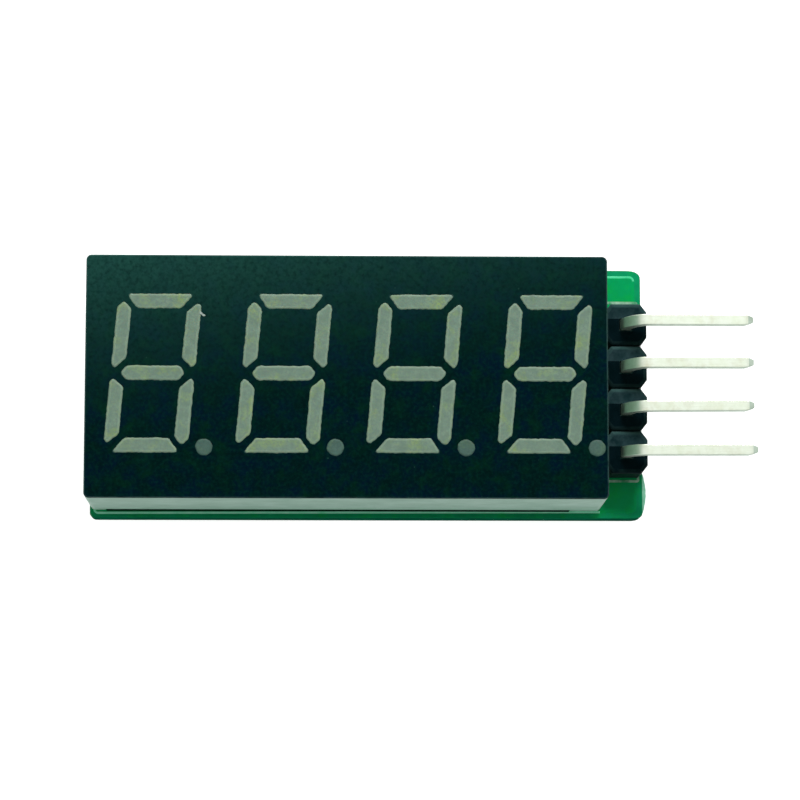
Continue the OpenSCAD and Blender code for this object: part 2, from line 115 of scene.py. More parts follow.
class Canvas:
    """Adds nodes to one shader tree and joins them."""

    def __init__(self, tree: bpy.types.NodeTree) -> None:
        """Starts on a tree, which is cleared.

        Args:
            tree: The tree to draw in.
        """
        self.tree = tree
        tree.nodes.clear()

    def add(self, kind: str, inputs: dict[str | int, object] | None = None, **settings: object) -> Node:
        """Adds one node.

        Args:
            kind: The node's type name.
            inputs: Values or sockets by input name or number.
            **settings: The node's own options.

        Returns:
            The new node.
        """
        node = self.tree.nodes.new(kind)
        for name, value in settings.items():
            setattr(node, name, value)
        for name, value in (inputs or {}).items():
            self.feed(node.inputs[name], value)
        return node

    def feed(self, socket: Socket, value: object) -> None:
        """Joins a socket to another, or gives it a plain value."""
        if isinstance(value, Socket):
            self.tree.links.new(value, socket)
        else:
            socket.default_value = value

    def place(self) -> Socket:
        """Returns the point being shaded, in metres in the object's own frame."""
        return self.add("ShaderNodeTexCoord").outputs["Object"]

    def blend(self, mask: object, first: object, second: object) -> Socket:
        """Mixes two colours.

        Args:
            mask: 0 gives the first colour and 1 the second.
            first: A colour or a socket.
            second: A colour or a socket.

        Returns:
            The mixed colour.
        """
        return self.add("ShaderNodeMix", {0: mask, 6: first, 7: second}, data_type="RGBA").outputs[2]

    def span(self, value: Socket, low: object, high: object,
             start: float = 0.0, end: float = 1.0) -> Socket:
        """Maps a value to a new range, with its ends held.

        Args:
            value: The value to map.
            low: The value that becomes the start.
            high: The value that becomes the end.
            start: The result at low.
            end: The result at high.

        Returns:
            The mapped value.
        """
        node = self.add("ShaderNodeMapRange", {
            "Value": value, "From Min": low, "From Max": high, "To Min": start, "To Max": end})
        return node.outputs["Result"]

    def sum(self, first: object, second: object, operation: str = "ADD") -> Socket:
        """Joins two values with an arithmetic operation."""
        return self.add("ShaderNodeMath", {0: first, 1: second}, operation=operation).outputs[0]

    def times(self, first: object, second: object) -> Socket:
        """Multiplies two values."""
        return self.sum(first, second, "MULTIPLY")

    def scale(self, size: object) -> Socket:
        """Returns the scale of a pattern whose features have the given size."""
        return self.sum(1.0, size, "DIVIDE")

    def noise(self, size: object, inputs: dict[str | int, object], **settings: object) -> Socket:
        """Draws a noise, in the object's own frame unless its inputs hold another vector.

        Args:
            size: The size of its features.
            inputs: Its other inputs.
            **settings: Its own options.

        Returns:
            The noise, around 0.5.
        """
        place = {} if "Vector" in inputs else {"Vector": self.place()}
        node = self.add("ShaderNodeTexNoise", {"Scale": self.scale(size), **place, **inputs}, **settings)
        return node.outputs["Fac"]


class Effect(ABC):
    """A shader node group that is built once and shared by the finishes."""

    name: str
    inputs: dict[str, float]
    output: str

    @classmethod
    def group(cls) -> bpy.types.NodeTree:
        """Returns the group's tree, built on its first use."""
        tree = bpy.data.node_groups.get(cls.name)
        if tree is None:
            tree = bpy.data.node_groups.new(cls.name, "ShaderNodeTree")
            for label, value in cls.inputs.items():
                socket = tree.interface.new_socket(name=label, in_out="INPUT", socket_type="NodeSocketFloat")
                socket.default_value = value
            tree.interface.new_socket(name=cls.output, in_out="OUTPUT", socket_type="NodeSocketFloat")
            canvas = Canvas(tree)
            source = canvas.add("NodeGroupInput")
            result = cls.draw(canvas, source.outputs)
            canvas.add("NodeGroupOutput", {cls.output: result})
        return tree

    @classmethod
    def on(cls, canvas: Canvas, **values: float) -> Socket:
        """Places the effect in a material.

        Args:
            canvas: The material's canvas.
            **values: The group's inputs by name.

        Returns:
            The effect's output.
        """
        node = canvas.add("ShaderNodeGroup", node_tree=cls.group())
        for label, value in values.items():
            node.inputs[label].default_value = value
        return node.outputs[cls.output]

    @staticmethod
    @abstractmethod
    def draw(canvas: Canvas, inputs: Outputs) -> Socket:
        """Draws the group's nodes and returns the socket that it puts out."""


class Mottle(Effect):
    """Soft patches: 0 and 1 in islands, with a blurred shore between them."""

    name = "mottle"
    inputs = {"Size": 0.001, "Detail": 3.0, "Low": 0.4, "High": 0.6, "Shift": 0.0}
    output = "Mask"

    @staticmethod
    def draw(canvas: Canvas, inputs: Outputs) -> Socket:
        """Draws a noise and sharpens its shores."""
        pattern = canvas.noise(inputs["Size"], {
            "W": inputs["Shift"], "Detail": inputs["Detail"], "Roughness": 0.6}, noise_dimensions="4D")
        return canvas.span(pattern, inputs["Low"], inputs["High"])


class Grain(Effect):
    """Fine height of a moulded, printed or cast surface."""

    name = "grain"
    inputs = {"Size": 0.0001, "Sharpness": 0.5}
    output = "Height"

    @staticmethod
    def draw(canvas: Canvas, inputs: Outputs) -> Socket:
        """Draws round cells over a rough noise."""
        cells = canvas.add("ShaderNodeTexVoronoi", {
            "Vector": canvas.place(), "Scale": canvas.scale(inputs["Size"])}, feature="SMOOTH_F1")
        rough = canvas.noise(inputs["Size"], {"Detail": 4.0, "Roughness": inputs["Sharpness"]})
        return canvas.sum(cells.outputs["Distance"], rough)


class Specks(Effect):
    """Scattered dust specks: 1 on a speck, 0 between them."""

    name = "specks"
    inputs = {"Spacing": 0.0006, "Radius": 0.12, "Share": 0.3}
    output = "Mask"

    @staticmethod
    def draw(canvas: Canvas, inputs: Outputs) -> Socket:
        """Draws a dot in some of the cells of a cell pattern."""
        cells = canvas.add("ShaderNodeTexVoronoi", {
            "Vector": canvas.place(), "Scale": canvas.scale(inputs["Spacing"])})
        chance = canvas.add("ShaderNodeSeparateColor", {"Color": cells.outputs["Color"]}).outputs["Red"]
        dot = canvas.span(cells.outputs["Distance"], inputs["Radius"], canvas.times(inputs["Radius"], 0.5))
        return canvas.times(dot, canvas.sum(chance, inputs["Share"], "LESS_THAN"))


class Streaks(Effect):
    """Drawn lines: a noise that is long along the axes with a low pull."""

    name = "streaks"
    inputs = {"Size": 0.0002, "Pull X": 1.0, "Pull Y": 1.0, "Pull Z": 1.0}
    output = "Mask"

    @staticmethod
    def draw(canvas: Canvas, inputs: Outputs) -> Socket:
        """Draws a noise on a stretched frame."""
        pull = canvas.add("ShaderNodeCombineXYZ", {
            "X": inputs["Pull X"], "Y": inputs["Pull Y"], "Z": inputs["Pull Z"]}).outputs[0]
        stretched = canvas.add(
            "ShaderNodeVectorMath", {0: canvas.place(), 1: pull}, operation="MULTIPLY").outputs[0]
        pattern = canvas.noise(inputs["Size"], {"Vector": stretched, "Detail": 3.0, "Roughness": 0.55})
        return canvas.span(pattern, 0.3, 0.7)


class RubbedEdges(Effect):
    """Worn outer edges: up to 1 on the faces of a rounded edge, 0 elsewhere."""

    name = "rubbed_edges"
    inputs = {"Size": 0.0006, "Share": 0.5}
    output = "Mask"

    @staticmethod
    def draw(canvas: Canvas, inputs: Outputs) -> Socket:
        """Draws the mark of the rounded faces, broken up by patches."""
        mark = canvas.add("ShaderNodeAttribute", attribute_name=ROUNDED).outputs["Fac"]
        pattern = canvas.noise(inputs["Size"], {"Detail": 4.0})
        high = canvas.sum(1.0, inputs["Share"], "SUBTRACT")
        return canvas.times(canvas.span(pattern, canvas.sum(high, 0.25, "SUBTRACT"), high), mark)


# Finishes


@dataclass(frozen=True)
class Finish(ABC):
    """What every finish has: a name, two colours that mix in patches, and a grain."""

    name: str
    colour: Colour
    shade: Colour
    patch: float = 1.2 * MM
    roughness: float = 0.45
    roughness_swing: float = 0.08
    grain: float = 0.08 * MM
    grain_height: float = 0.004 * MM
    specular: float = 0.5
    sheen_colour: Colour = (255, 255, 255)

    def material(self) -> Material:
        """Returns the finish's material, built on its first use."""
        made = bpy.data.materials.get(self.name)
        if made is None:
            made = bpy.data.materials.new(self.name)
            made.use_nodes = True
            made.diffuse_color = linear(self.colour)
            canvas = Canvas(made.node_tree)
            shader = canvas.add("ShaderNodeBsdfPrincipled")
            canvas.add("ShaderNodeOutputMaterial", {"Surface": shader.outputs[0]})
            self.dress(canvas, shader)
        return made

    def dress(self, canvas: Canvas, shader: Node) -> None:
        """Draws the finish's nodes.

        Args:
            canvas: The material's canvas.
            shader: The material's main shader.
        """
        patches = Mottle.on(canvas, Size=self.patch, Low=0.36, High=0.66)
        base = canvas.blend(patches, linear(self.colour), linear(self.shade))
        bump = canvas.add("ShaderNodeBump", {
            "Height": self.relief(canvas), "Strength": 1.0, "Distance": self.grain_height})
        canvas.feed(shader.inputs["Base Color"], self.coloured(canvas, base))
        canvas.feed(shader.inputs["Roughness"],
                    canvas.span(patches, 0.0, 1.0, self.roughness, self.roughness + self.roughness_swing))
        canvas.feed(shader.inputs["Normal"], bump.outputs[0])
        shader.inputs["Specular IOR Level"].default_value = self.specular
        shader.inputs["Specular Tint"].default_value = linear(self.sheen_colour)
        self.polish(shader)

    def coloured(self, canvas: Canvas, base: Socket) -> Socket:
        """Returns the colour with what the finish adds to it, which is nothing here."""
        return base

    def relief(self, canvas: Canvas) -> Socket:
        """Returns the height of the finish's fine relief."""
        return Grain.on(canvas, Size=self.grain)

    def polish(self, shader: Node) -> None:
        """Sets the finish's own plain values, of which there are none here."""


@dataclass(frozen=True)
class MouldedPlastic(Finish):
    """Moulded plastic with rubbed edges, dust and, where asked, a painted highlight on edges that face the
    lamp.
    """

    rubbed: Colour = (120, 130, 128)
    rub: float = 0.4
    lamp_side_highlight: float = 0.0
    dust: Colour = (150, 160, 150)
    dust_share: float = 0.08

    def coloured(self, canvas: Canvas, base: Socket) -> Socket:
        """Adds rubbed edges, a painted highlight on rounded edges that face the lamp, and dust specks to the
        colour.
        """
        edges = canvas.times(RubbedEdges.on(canvas), self.rub)
        # Painted highlight: rounded edges whose faces turn towards +Y, where the lamp stands, are drawn paler
        if self.lamp_side_highlight:
            normal = canvas.add("ShaderNodeNewGeometry").outputs["Normal"]
            faced = canvas.add("ShaderNodeSeparateXYZ", {"Vector": normal}).outputs["Y"]
            lamp_facing_share = canvas.span(faced, 0.1, 0.7, 0.0, self.lamp_side_highlight)
            edges = canvas.sum(edges, canvas.times(RubbedEdges.on(canvas, Share=0.75), lamp_facing_share))
        worn = canvas.blend(edges, base, linear(self.rubbed))
        specks = Specks.on(canvas, Spacing=0.55 * MM, Radius=0.1, Share=self.dust_share)
        return canvas.blend(specks, worn, linear(self.dust))


@dataclass(frozen=True)
class FaceInk(MouldedPlastic):
    """Black ink, clouded with blue and green, under a painted sheen that pales the ink towards the upper
    left.
    """

    blue: Colour = (0, 14, 32)
    green: Colour = (2, 32, 18)
    painted_sheen: Colour = (32, 74, 66)
    dark: Colour = (0, 9, 12)
    pale: Colour = (5, 44, 37)
    sheen_lean: float = 0.18
    sheen_start: float = -2.5 * MM
    sheen_end: float = 9.5 * MM
    sheen_power: float = 2.1

    def coloured(self, canvas: Canvas, base: Socket) -> Socket:
        """Adds the clouds and the painted sheen under the dust."""
        blues = Mottle.on(canvas, Size=1.6 * MM, Detail=6.0, Low=0.44, High=0.6, Shift=3.0)
        greens = Mottle.on(canvas, Size=1.1 * MM, Detail=6.0, Low=0.5, High=0.66, Shift=11.0)
        clouded = canvas.blend(blues, base, linear(self.blue))
        clouded = canvas.blend(greens, clouded, linear(self.green))
        # Painted sheen: the ink is drawn paler towards the upper left, a light gradient put into the colour
        place = canvas.add("ShaderNodeSeparateXYZ", {"Vector": canvas.place()}).outputs
        height = canvas.sum(place["Y"], canvas.times(place["X"], self.sheen_lean), "SUBTRACT")
        slope = canvas.span(height, self.sheen_start, self.sheen_end)
        broken = canvas.span(Mottle.on(canvas, Size=0.8 * MM, Detail=5.0, Low=0.3, High=0.75, Shift=6.0),
                             0.0, 1.0, 0.75, 1.1)
        share = canvas.times(canvas.sum(slope, self.sheen_power, "POWER"), broken)
        sheened = canvas.blend(share, clouded, linear(self.painted_sheen))
        for size, shift, colour in ((0.26 * MM, 14.0, self.dark), (0.2 * MM, 17.0, self.pale)):
            spots = Mottle.on(canvas, Size=size, Detail=3.0, Low=0.46, High=0.82, Shift=shift)
            sheened = canvas.blend(canvas.times(spots, 0.8), sheened, linear(colour))
        return super().coloured(canvas, sheened)


@dataclass(frozen=True)
class CloudyEpoxy(Finish):
    """Diffusing epoxy: grey green, with yellower clouds and fine dark grains."""

    tint: Colour = (138, 164, 76)
    fleck: Colour = (100, 122, 112)
    rim_highlight_colour: Colour = (146, 168, 140)
    rim_highlight: float = 0.3

    def coloured(self, canvas: Canvas, base: Socket) -> Socket:
        """Adds the yellow clouds, the grains and a pale painted highlight on the rounded edges."""
        clouds = Mottle.on(canvas, Size=1.5 * MM, Detail=3.0, Low=0.5, High=0.72, Shift=21.0)
        tinted = canvas.blend(canvas.times(clouds, 0.8), base, linear(self.tint))
        flecks = Mottle.on(canvas, Size=0.16 * MM, Detail=4.0, Low=0.44, High=0.7, Shift=1.0)
        grained = canvas.blend(flecks, tinted, linear(self.fleck))
        # Painted highlight: the crowns' rounded edges are drawn paler, as if they caught the light
        rim_highlight = canvas.times(RubbedEdges.on(canvas, Size=0.7 * MM, Share=0.5), self.rim_highlight)
        return canvas.blend(rim_highlight, grained, linear(self.rim_highlight_colour))

    def polish(self, shader: Node) -> None:
        """Gives the epoxy its light inside."""
        shader.inputs["Subsurface Weight"].default_value = 0.12
        shader.inputs["Subsurface Scale"].default_value = 0.15 * MM


@dataclass(frozen=True)
class SolderMask(Finish):
    """Green lacquer over the board, with a clear gloss."""

    coat: float = 0.06
    bright: Colour = (4, 168, 60)

    def coloured(self, canvas: Canvas, base: Socket) -> Socket:
        """Adds the woven glass and yellower clouds, which show through the lacquer."""
        weave = canvas.add("ShaderNodeTexChecker", {
            "Vector": canvas.place(), "Scale": 1 / (0.42 * MM),
            "Color1": linear(self.colour), "Color2": linear(self.shade)})
        woven = canvas.blend(0.2, base, weave.outputs["Color"])
        clouds = Mottle.on(canvas, Size=0.9 * MM, Detail=4.0, Low=0.5, High=0.85, Shift=2.0)
        return canvas.blend(clouds, woven, linear(self.bright))

    def polish(self, shader: Node) -> None:
        """Sets the lacquer's gloss."""
        shader.inputs["Coat Weight"].default_value = self.coat
        shader.inputs["Coat Roughness"].default_value = 0.2


@dataclass(frozen=True)
class Laminate(Finish):
    """Sawn or torn edge of the glass fibre board, with layers along the board."""

    fibre: Colour = (150, 190, 165)

    def coloured(self, canvas: Canvas, base: Socket) -> Socket:
        """Adds pale fibres that run along the layers."""
        fibres = Streaks.on(canvas, **{"Size": 0.12 * MM, "Pull X": 0.08, "Pull Y": 0.08, "Pull Z": 1.6})
        return canvas.blend(canvas.span(fibres, 0.55, 1.0, 0.0, 0.6), base, linear(self.fibre))

    def relief(self, canvas: Canvas) -> Socket:
        """Returns the height of the layers."""
        return Streaks.on(canvas, **{"Size": 0.1 * MM, "Pull X": 0.2, "Pull Y": 0.2, "Pull Z": 1.5})


@dataclass(frozen=True)
class WornPrint(Finish):
    """White print that has rubbed down to the lacquer in places."""

    under: Colour = (20, 140, 88)

    def coloured(self, canvas: Canvas, base: Socket) -> Socket:
        """Lets the lacquer's colour through where the print is worn."""
        worn = Mottle.on(canvas, Size=0.8 * MM, Detail=5.0, Low=0.28, High=0.6, Shift=9.0)
        return canvas.blend(canvas.times(worn, 0.9), base, linear(self.under))


@dataclass(frozen=True)
class Tinned(Finish):
    """Tinned metal with drawing lines along one axis and dull patches."""

    pull: Point3 = (0.05, 1.0, 1.0)
    dull: Colour = (196, 200, 178)

    def coloured(self, canvas: Canvas, base: Socket) -> Socket:
        """Adds dull patches, which are a little yellow from flux."""
        patches = Mottle.on(canvas, Size=0.7 * MM, Detail=4.0, Low=0.5, High=0.8, Shift=5.0)
        return canvas.blend(patches, base, linear(self.dull))

    def relief(self, canvas: Canvas) -> Socket:
        """Returns the height of the drawing lines."""
        along, across, up = self.pull
        return Streaks.on(canvas, **{"Size": self.grain, "Pull X": along, "Pull Y": across, "Pull Z": up})

    def polish(self, shader: Node) -> None:
        """Makes the surface metal."""
        shader.inputs["Metallic"].default_value = 1.0


class Finishes:
    """The finishes of this object."""

    housing = MouldedPlastic(
        "housing_plastic", (152, 196, 176), (138, 184, 162), patch=1.6 * MM, roughness=0.5, specular=0.3,
        grain=0.12 * MM, grain_height=0.006 * MM, rubbed=(180, 214, 196), dust=(96, 140, 122))
    face = FaceInk(
        "face_ink", (0, 20, 20), (0, 13, 14), patch=0.7 * MM, roughness=0.38, roughness_swing=0.1,
        specular=0.04, sheen_colour=(120, 255, 235), grain=0.07 * MM, grain_height=0.002 * MM,
        rubbed=(100, 146, 138), rub=0.15, dust=(30, 58, 52), dust_share=0.06)
    epoxy = CloudyEpoxy(
        "cloudy_epoxy", (116, 142, 122), (100, 126, 108), patch=0.5 * MM, roughness=0.45, specular=0.3,
        grain=0.09 * MM, grain_height=0.006 * MM)
    shaded_epoxy = replace(
        epoxy, name="shaded_epoxy", colour=(74, 104, 93), shade=(62, 92, 82), patch=0.4 * MM, specular=0.2,
        tint=(84, 112, 70), fleck=(62, 88, 82), rim_highlight=0.0)
    lacquer = SolderMask(
        "green_lacquer", (8, 152, 98), (4, 138, 88), patch=1.4 * MM, roughness=0.4, specular=0.12,
        sheen_colour=(110, 255, 190), grain=0.2 * MM, grain_height=0.002 * MM)
    copper_lacquer = replace(
        lacquer, name="green_lacquer_on_copper", colour=(0, 160, 92), shade=(0, 150, 82), patch=1.2 * MM,
        roughness=0.36)
    board_edge = Laminate(
        "board_edge", (10, 108, 78), (4, 88, 62), patch=1 * MM, roughness=0.8, specular=0.0,
        grain_height=0.006 * MM, fibre=(50, 130, 102))
    broken_edge = Laminate(
        "broken_laminate", (146, 222, 188), (116, 206, 164), patch=0.4 * MM, roughness=0.7,
        grain_height=0.01 * MM, fibre=(164, 240, 206))
    # Painted shadow: dark lacquer for the gap under the display
    gap_shadow_lacquer = SolderMask(
        "green_lacquer_painted_gap_shadow", (0, 52, 32), (0, 44, 26), patch=1 * MM, roughness=0.6, specular=0.02,
        bright=(0, 58, 30))
    # Painted highlights on the copper field's edge: the palest for edges that face -Y, and paler thin lacquer
    # over the copper's edge for the rest
    highlight_lacquer = SolderMask(
        "green_lacquer_painted_highlight", (176, 250, 218), (136, 240, 196), patch=0.8 * MM, roughness=0.3, specular=0.4,
        sheen_colour=(150, 255, 210), grain=0.2 * MM, grain_height=0.002 * MM, bright=(90, 220, 160))
    thin_lacquer_and_highlight = replace(
        highlight_lacquer, name="thin_green_lacquer_with_painted_highlight", colour=(84, 214, 158), shade=(40, 190, 126),
        patch=0.5 * MM, specular=0.3, bright=(40, 190, 120))
    inner_board = Laminate(
        "inner_board", (196, 184, 130), (180, 166, 112), patch=2 * MM, roughness=0.5, grain_height=0.004 * MM,
        fibre=(214, 206, 166))
    print = WornPrint(
        "white_print", (214, 236, 218), (190, 218, 198), patch=0.5 * MM, roughness=0.6, specular=0.3,
        grain=0.05 * MM, grain_height=0.003 * MM)
    insulator = MouldedPlastic(
        "header_plastic", (4, 16, 22), (0, 8, 13), patch=1 * MM, roughness=0.34, specular=0.03,
        sheen_colour=(150, 255, 235), grain=0.1 * MM, grain_height=0.003 * MM, rubbed=(78, 112, 106),
        rub=0.06, lamp_side_highlight=0.4, dust=(60, 80, 74), dust_share=0.05)
    # Painted light: the paler shoulder colour stands in for the lamp's light above the pins' shadows; the
    # specks are dust
    lit_and_dusty_insulator = replace(
        insulator, name="header_plastic_with_dust_and_painted_light", colour=(38, 56, 60), shade=(16, 36, 40),
        patch=0.5 * MM, roughness=0.4, rub=0.1, lamp_side_highlight=0.2, dust=(84, 104, 100), dust_share=0.12)
    header_pin = Tinned(
        "header_pin_tin", (220, 228, 214), (200, 209, 190), patch=0.8 * MM, roughness=0.32,
        grain=0.08 * MM, grain_height=0.0015 * MM)
    # Painted shade: darker tin for the pins' flat sides and lower bends, which stand in for dark reflections;
    # also used on the tapered ends
    pin_shade_and_dark_ends = Tinned(
        "header_pin_painted_shade_and_dark_ends", (176, 190, 176), (160, 176, 162), patch=0.6 * MM, roughness=0.45,
        grain=0.05 * MM, grain_height=0.004 * MM, dull=(140, 154, 138))
    display_pin = Tinned(
        "display_pin_tin", (226, 228, 220), (206, 208, 200), patch=0.5 * MM, roughness=0.3,
        grain=0.06 * MM, grain_height=0.002 * MM, pull=(1.0, 1.0, 0.05))
    lead = Tinned(
        "lead_tin", (214, 218, 214), (196, 200, 196), patch=0.4 * MM, roughness=0.34,
        grain=0.06 * MM, grain_height=0.002 * MM, pull=(1.0, 0.1, 0.4))
    solder = Tinned(
        "solder", (206, 210, 206), (186, 190, 186), patch=0.35 * MM, roughness=0.24,
        grain=0.3 * MM, grain_height=0.006 * MM, pull=(1.0, 1.0, 1.0), dull=(164, 168, 162))
    driver = MouldedPlastic(
        "driver_plastic", (30, 31, 33), (24, 25, 27), patch=1.5 * MM, roughness=0.5, specular=0.3,
        grain=0.06 * MM, grain_height=0.006 * MM, rubbed=(84, 86, 88), dust=(96, 98, 98), dust_share=0.05)
    resistor = MouldedPlastic(
        "resistor_glaze", (26, 27, 30), (18, 19, 22), patch=0.4 * MM, roughness=0.25, grain=0.1 * MM,
        grain_height=0.003 * MM)
    capacitor = MouldedPlastic(
        "capacitor_ceramic", (172, 142, 104), (152, 122, 86), patch=0.4 * MM, roughness=0.5,
        grain=0.05 * MM, grain_height=0.003 * MM, rubbed=(200, 176, 140))
    die = MouldedPlastic(
        "die_crystal", (150, 60, 46), (110, 40, 34), patch=0.1 * MM, roughness=0.3, grain=0.03 * MM,
        grain_height=0.001 * MM)
    flake = MouldedPlastic(
        "bare_flake", (176, 192, 182), (150, 170, 158), patch=0.1 * MM, roughness=0.6, grain=0.04 * MM,
        grain_height=0.004 * MM)


# Mesh helpers


def cad_copy(node: str) -> Mesh:
    """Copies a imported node's mesh, with its corners joined and its flat faces whole.

    Args:
        node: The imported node's name.

    Returns:
        A new mesh that may be changed.
    """
    mesh = bmesh.new()
    mesh.from_mesh(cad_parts[node].data)
    bmesh.ops.remove_doubles(mesh, verts=mesh.verts, dist=WELD)
    bmesh.ops.dissolve_limit(
        mesh, angle_limit=math.radians(0.6), use_dissolve_boundaries=False,
        verts=mesh.verts, edges=mesh.edges)
    mesh.normal_update()
    return mesh


def is_sharp(edge: Edge, degrees: float = 30.0) -> bool:
    """Tells whether two faces meet at an edge with more than an angle between them."""
    return len(edge.link_faces) == 2 and edge.calc_face_angle(0.0) > math.radians(degrees)


def at_level(edge: Edge, level: float) -> bool:
    """Tells whether both ends of an edge lie at a height."""
    return all(abs(v.co.z - level) < 2 * WELD for v in edge.verts)


def round_edges(mesh: Mesh, edges: Iterable[Edge], width: float, steps: int = 3) -> None:
    """Rounds edges of a mesh.

    Args:
        mesh: The mesh to change.
        edges: The edges to round.
        width: How far the rounding reaches from each edge.
        steps: The number of faces across the rounding.
    """
    bmesh.ops.bevel(
        mesh, geom=list(edges), offset=width, offset_type="OFFSET", segments=steps, profile=0.5,
        affect="EDGES", clamp_overlap=True)
    mesh.normal_update()


def flat_areas(mesh: Mesh) -> list[float]:
    """Returns, for each face, the area of the flat region that it belongs to, in square millimetres."""
    mesh.faces.index_update()
    areas = [0.0] * len(mesh.faces)
    for start in mesh.faces:
        if areas[start.index]:
            continue
        region, waiting = {start}, [start]
        while waiting:
            face = waiting.pop()
            for edge in face.edges:
                for other in edge.link_faces:
                    if other not in region and other.normal.dot(start.normal) > FLAT:
                        region.add(other)
                        waiting.append(other)
        area = sum(f.calc_area() for f in region) / MM ** 2
        for face in region:
            areas[face.index] = max(area, 1e-9)
    return areas


def is_strip(face: Face, area: float) -> bool:
    """Tells whether a face belongs to a rounded edge, by its flat region's area or its own width."""
    length = max(edge.calc_length() for edge in face.edges)
    return area < STRIP_AREA or (len(face.verts) == 4 and face.calc_area() / length < STRIP_WIDTH)


def corner_normals(mesh: Mesh, areas: Sequence[float], crease: float) -> list[Vector]:
    """Returns a normal for each face corner, so that broad flat areas shade as flat.

    Args:
        mesh: The mesh.
        areas: The area of the flat region of each face.
        crease: Faces that turn by more than this angle, in degrees, don't blend.

    Returns:
        The normals, in the order of the faces and their corners.
    """
    least = math.cos(math.radians(crease))
    normals = []
    for face in mesh.faces:
        for loop in face.loops:
            total = Vector()
            for other in loop.vert.link_faces:
                if other.normal.dot(face.normal) > least:
                    total += other.normal * areas[other.index] ** 2
            normals.append(total.normalized() if total.length else face.normal.copy())
    return normals


def mesh_data(name: str, mesh: Mesh) -> bpy.types.Mesh:
    """Writes a mesh to Blender's own form and frees it."""
    data = bpy.data.meshes.new(name)
    mesh.to_mesh(data)
    mesh.free()
    return data


def placed(name: str, data: bpy.types.ID) -> bpy.types.Object:
    """Puts an object with the given data in the scene."""
    made = bpy.data.objects.new(name, data)
    bpy.context.scene.collection.objects.link(made)
    return made


def piece(name: str, mesh: Mesh, finishes: Sequence[Finish], slot: str, nodes: Sequence[str] = (),
          crease: float = 50.0) -> None:
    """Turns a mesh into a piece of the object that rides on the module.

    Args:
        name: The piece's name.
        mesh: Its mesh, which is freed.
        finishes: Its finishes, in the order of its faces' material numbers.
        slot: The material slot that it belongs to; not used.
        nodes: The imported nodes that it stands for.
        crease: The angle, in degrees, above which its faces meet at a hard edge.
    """
    mesh.normal_update()
    for face in mesh.faces:
        face.smooth = True
    areas = flat_areas(mesh)
    strips = [float(is_strip(face, area)) for face, area in zip(mesh.faces, areas)]
    normals = corner_normals(mesh, areas, crease)
    data = mesh_data(name, mesh)
    data.normals_split_custom_set(normals)
    marks = data.attributes.new(ROUNDED, "FLOAT", "FACE")
    marks.data.foreach_set("value", strips)
    for finish in finishes:
        data.materials.append(finish.material())
    made = placed(name, data)
    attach(made, "root")
    if nodes:
        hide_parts(*nodes)
    log.info("%s: %d faces, for %s", name, len(data.polygons), ", ".join(nodes) or "no packed node")


def soft_copy(node: str, name: str, finish: Finish, slot: str, edge: float, steps: int = 3,
              angle: float = 30.0) -> None:
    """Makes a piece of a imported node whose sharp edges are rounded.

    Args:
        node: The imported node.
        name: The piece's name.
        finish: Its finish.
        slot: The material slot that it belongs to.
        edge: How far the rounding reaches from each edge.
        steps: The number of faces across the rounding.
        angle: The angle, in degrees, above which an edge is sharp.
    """
    mesh = cad_copy(node)
    round_edges(mesh, [e for e in mesh.edges if is_sharp(e, angle)], edge, steps)
    piece(name, mesh, [finish], slot, [node])


def dress_node(node: str, finish: Finish) -> None:
    """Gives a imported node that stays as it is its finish."""
    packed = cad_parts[node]
    packed.data.materials.clear()
    packed.data.materials.append(finish.material())
    log.info("%s: packed node, dressed", node)


def ring_of(mesh: Mesh, points: Iterable[Sequence[float]]) -> list[Corner]:
    """Adds a ring of corners to a mesh."""
    return [mesh.verts.new(Vector(p)) for p in points]


def skin(mesh: Mesh, rings: Sequence[list[Corner]], capped: bool = True) -> None:
    """Joins rings of corners with faces.

    Args:
        mesh: The mesh to add to.
        rings: Rings with the same number of corners, in order.
        capped: Whether the first and the last ring are closed.
    """
    for low, high in zip(rings, rings[1:]):
        for k in range(len(low)):
            n = (k + 1) % len(low)
            mesh.faces.new((low[k], low[n], high[n], high[k]))
    if capped:
        mesh.faces.new(list(reversed(rings[0])))
        mesh.faces.new(rings[-1])


def revolve(mesh: Mesh, centre: Sequence[float], profile: Sequence[Point2], steps: int = 32,
            wobble: float = 0.0) -> None:
    """Turns a profile about an upright axis.

    Args:
        mesh: The mesh to add to.
        centre: A point on the axis; heights are counted from it.
        profile: Radius and height of each ring, from one closed end to the other.
        steps: The number of corners round the axis.
        wobble: How unround the rings are, as a share of the radius.
    """
    axis = Vector(centre)
    rings = []
    for radius, height in profile:
        ring = []
        for k in range(steps):
            turn = 2 * math.pi * k / steps
            way = Vector((math.cos(turn), math.sin(turn), 0))
            swell = 1 + wobble * noise.noise(way * 1.3 + axis * 900 + Vector((0, 0, height * 1500)))
            ring.append(axis + way * radius * swell + Vector((0, 0, height)))
        rings.append(ring_of(mesh, ring))
    skin(mesh, rings)


# Flat outlines, anticlockwise from above


def inset(outline: Sequence[Point2], distance: float) -> list[Point2]:
    """Moves an outline inwards, or outwards by a negative distance."""
    points = []
    for k, corner in enumerate(outline):
        here = Vector(corner)
        after = (Vector(outline[(k + 1) % len(outline)]) - here).normalized()
        before = (here - Vector(outline[k - 1])).normalized()
        inward = Vector((-(before + after).y, (before + after).x)).normalized()
        reach = distance / max(0.3, inward.dot(Vector((-after.y, after.x))))
        points.append(tuple(here + inward * reach))
    return points


